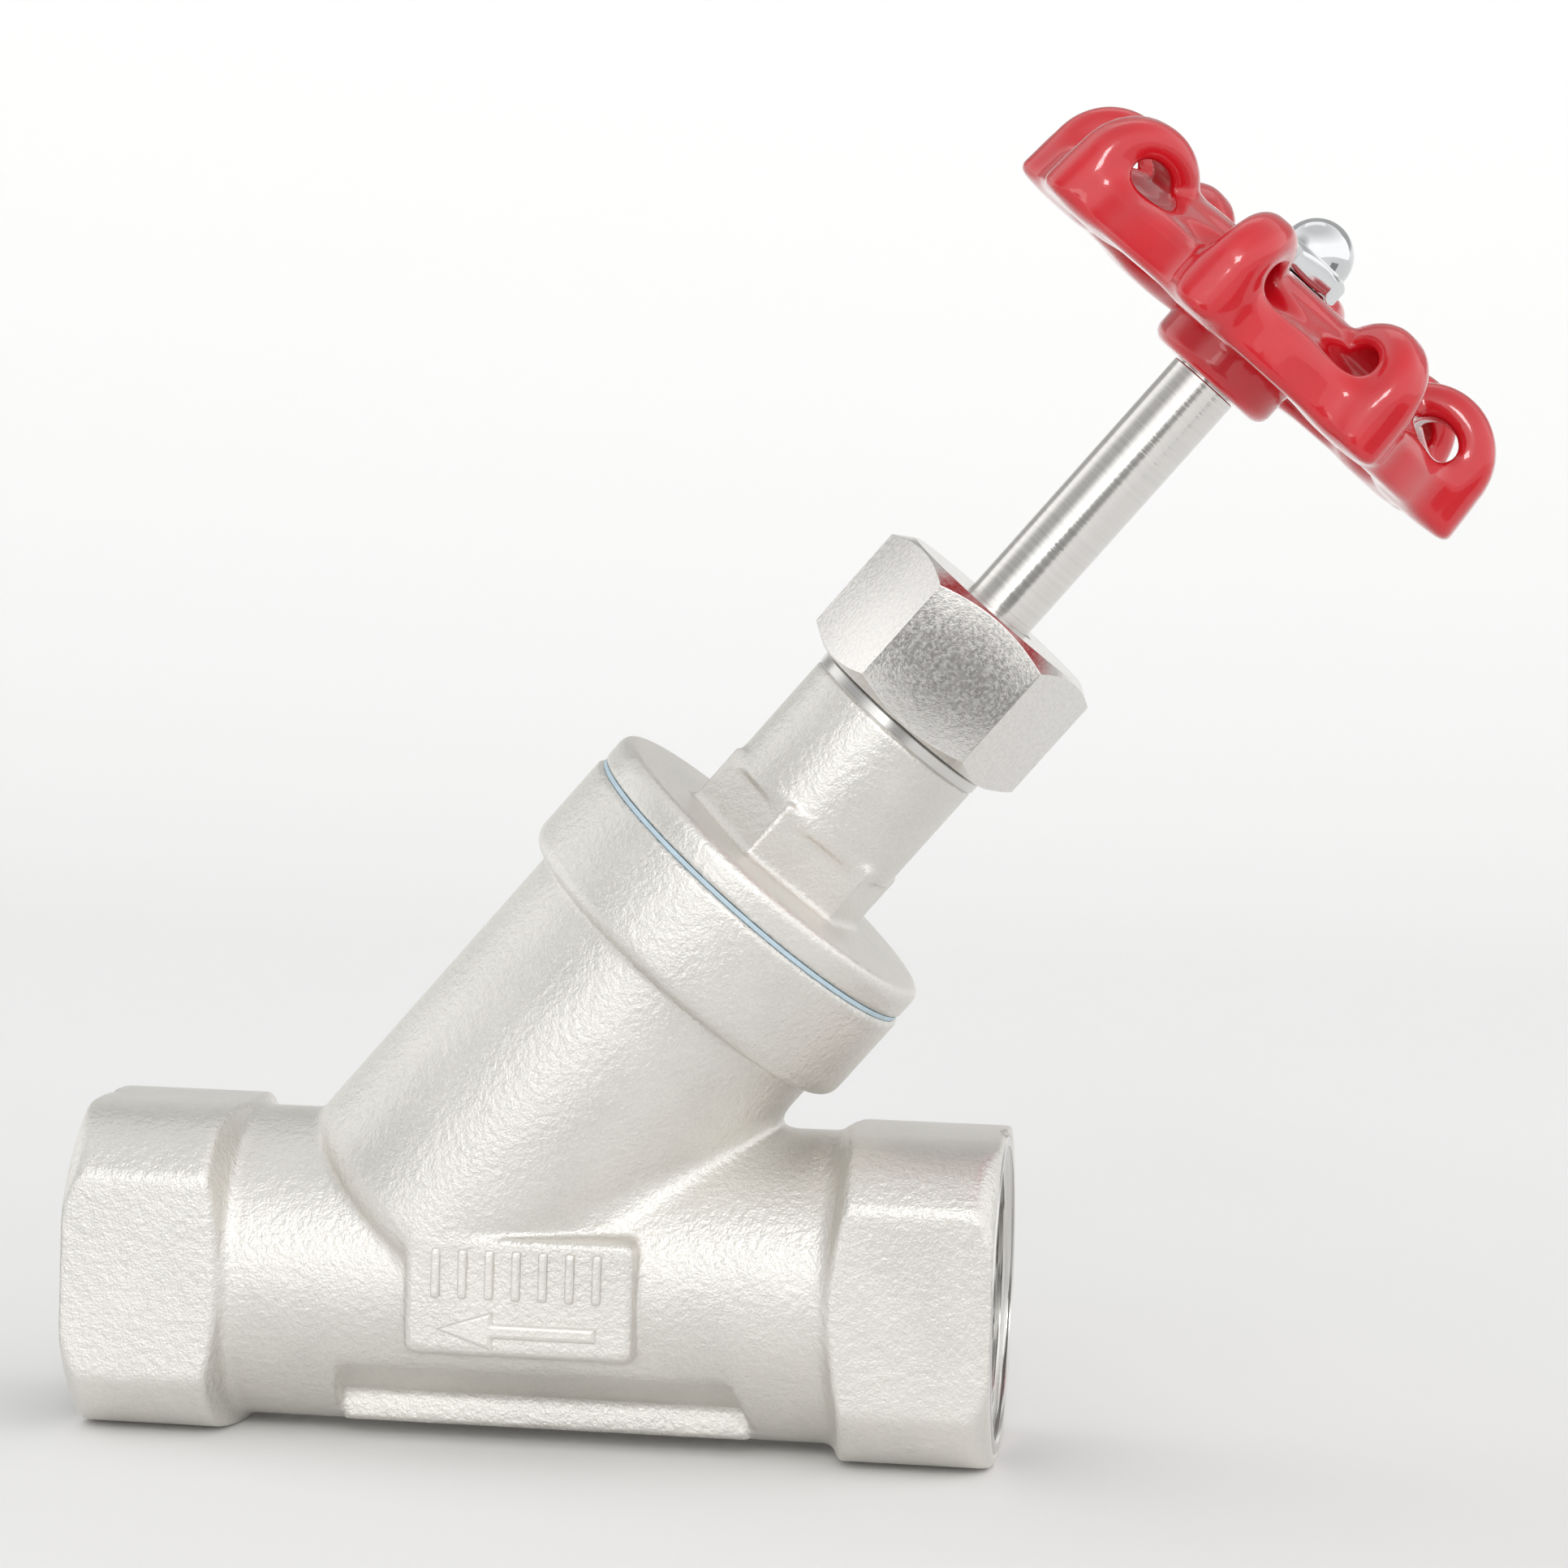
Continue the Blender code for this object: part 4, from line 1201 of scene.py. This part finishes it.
def make_world(scene):
    """Soft white surroundings, dimmer overhead and with a darker place high on the left."""
    world = bpy.data.worlds.new("studio")
    scene.world = world
    world.use_nodes = True
    tree = Tree(world.node_tree)
    tree.tree.nodes.clear()
    where = tree.add("ShaderNodeTexCoord").outputs["Generated"]
    toward = Vector((-0.754, -0.446, 0.481)).normalized()
    dot = tree.vector("DOT_PRODUCT", where, tuple(toward), result="Value")
    shade = tree.blend(tree.ramp(dot, 0.84, 0.97), grey(1.0), grey(0.34))
    height = tree.separate(where)[2]
    shade = tree.blend(tree.ramp(height, 0.5, 0.95), shade, grey(0.56))
    seen = tree.add("ShaderNodeLightPath").outputs["Is Camera Ray"]
    shade = tree.blend(seen, shade, grey(0.72))
    light = tree.add("ShaderNodeBackground", {"Color": shade, "Strength": 1.33})
    tree.add("ShaderNodeOutputWorld", light.outputs[:1])


def make_lights():
    """Lamps above and beside the camera, and a broad one that lifts the backdrop."""
    lamps = (
        ("key_lamp", (0.13, -1.06, 0.65), (0.0, 0.0, 0.11), 0.20, 1.5),
        ("front_lamp", (-0.20, -1.15, 0.12), (0.0, 0.0, 0.06), 0.40, 0.75),
        ("backdrop_lamp", (0.0, 0.6, 1.5), (0.0, 1.4, 0.3), 0.8, 0.80),
    )
    for name, place, target, width, watts in lamps:
        light = bpy.data.lights.new(name, "AREA")
        light.shape = "SQUARE"
        light.size = width
        light.energy = watts
        lamp = link(name, light)
        lamp.visible_camera = False
        lamp.matrix_world = aimed(place, target, "-Z")


def make_cards():
    """Grey cards, opposite the packing nut and the acorn nut, that only the shiny pieces see:
    painted dark reflections, hidden from the camera, from diffuse light and from shadows.
    """
    finish = Finish("card_grey")
    mottle = finish.noise(20.0, 2.0, 0.5)
    finish.done(Base_Color=finish.shades(mottle, 0.29, 0.37), Roughness=0.9)
    cards = (
        ("front_card", (0.056, -0.36, 0.071), (0.028, -0.018, 0.127), 0.10),
        ("side_card", (0.33, -0.12, 0.03), (0.08, 0.0, 0.20), 0.07),
    )
    # each card is a painted dark reflection that no camera, diffuse or shadow ray meets
    for name, place, target, half in cards:
        corners = [(-half, -half, 0), (half, -half, 0), (half, half, 0), (-half, half, 0)]
        add_stage(name, corners, [[0, 1, 2, 3]], finish.material, aimed(place, target, "Z"),
                  ("camera", "diffuse", "shadow"))


def make_camera(context):
    """A long lens, nearly level and a little to the right, with a slight roll."""
    across, above, roll = math.radians(6.81), math.radians(2.97), math.radians(1.73)
    aim = crossing_point(context)[0] + Vector((59.0, 0.0, 81.7)) * MM
    data = bpy.data.cameras.new("camera")
    data.lens = 97.56
    data.sensor_width = 36.0
    data.clip_start, data.clip_end = 0.05, 20.0
    camera = link("camera", data)
    turn = (Matrix.Rotation(across, 4, "Z") @ Matrix.Rotation(math.pi / 2 - above, 4, "X")
            @ Matrix.Rotation(roll, 4, "Z"))
    camera.matrix_world = Matrix.Translation(aim) @ turn @ Matrix.Translation((0, 0, 0.6907))
    bpy.context.scene.camera = camera


# ---- add-on

STEPS = (VALVE_OT_stage, VALVE_OT_casting, VALVE_OT_mouths, VALVE_OT_markings,
         VALVE_OT_bonnet, VALVE_OT_packing_nut, VALVE_OT_stem, VALVE_OT_fastening,
         VALVE_OT_handwheel, VALVE_OT_inner_pieces)


class VALVE_PT_sidebar(bpy.types.Panel):
    """Lists the valve's pieces"""
    bl_idname = "VALVE_PT_sidebar"
    bl_label = "Globe valve"
    bl_space_type = "VIEW_3D"
    bl_region_type = "UI"
    bl_category = "Valve"

    def draw(self, context):
        for step in STEPS:
            self.layout.operator(step.bl_idname)
        for name, group in GROUPS.items():
            box = self.layout.box()
            box.label(text=group.__doc__)
            for key in group.__annotations__:
                box.prop(getattr(context.scene, name), key)

CLASSES = (*GROUPS.values(), *STEPS, VALVE_PT_sidebar)


def register():
    for item in CLASSES:
        bpy.utils.register_class(item)
    for name, group in GROUPS.items():
        setattr(bpy.types.Scene, name, PointerProperty(type=group))


def unregister():
    for name in GROUPS:
        delattr(bpy.types.Scene, name)
    for item in reversed(CLASSES):
        bpy.utils.unregister_class(item)


def main():
    register()
    for step in STEPS:
        area, name = step.bl_idname.split(".")
        getattr(getattr(bpy.ops, area), name)()


if __name__ == "__main__":
    main()
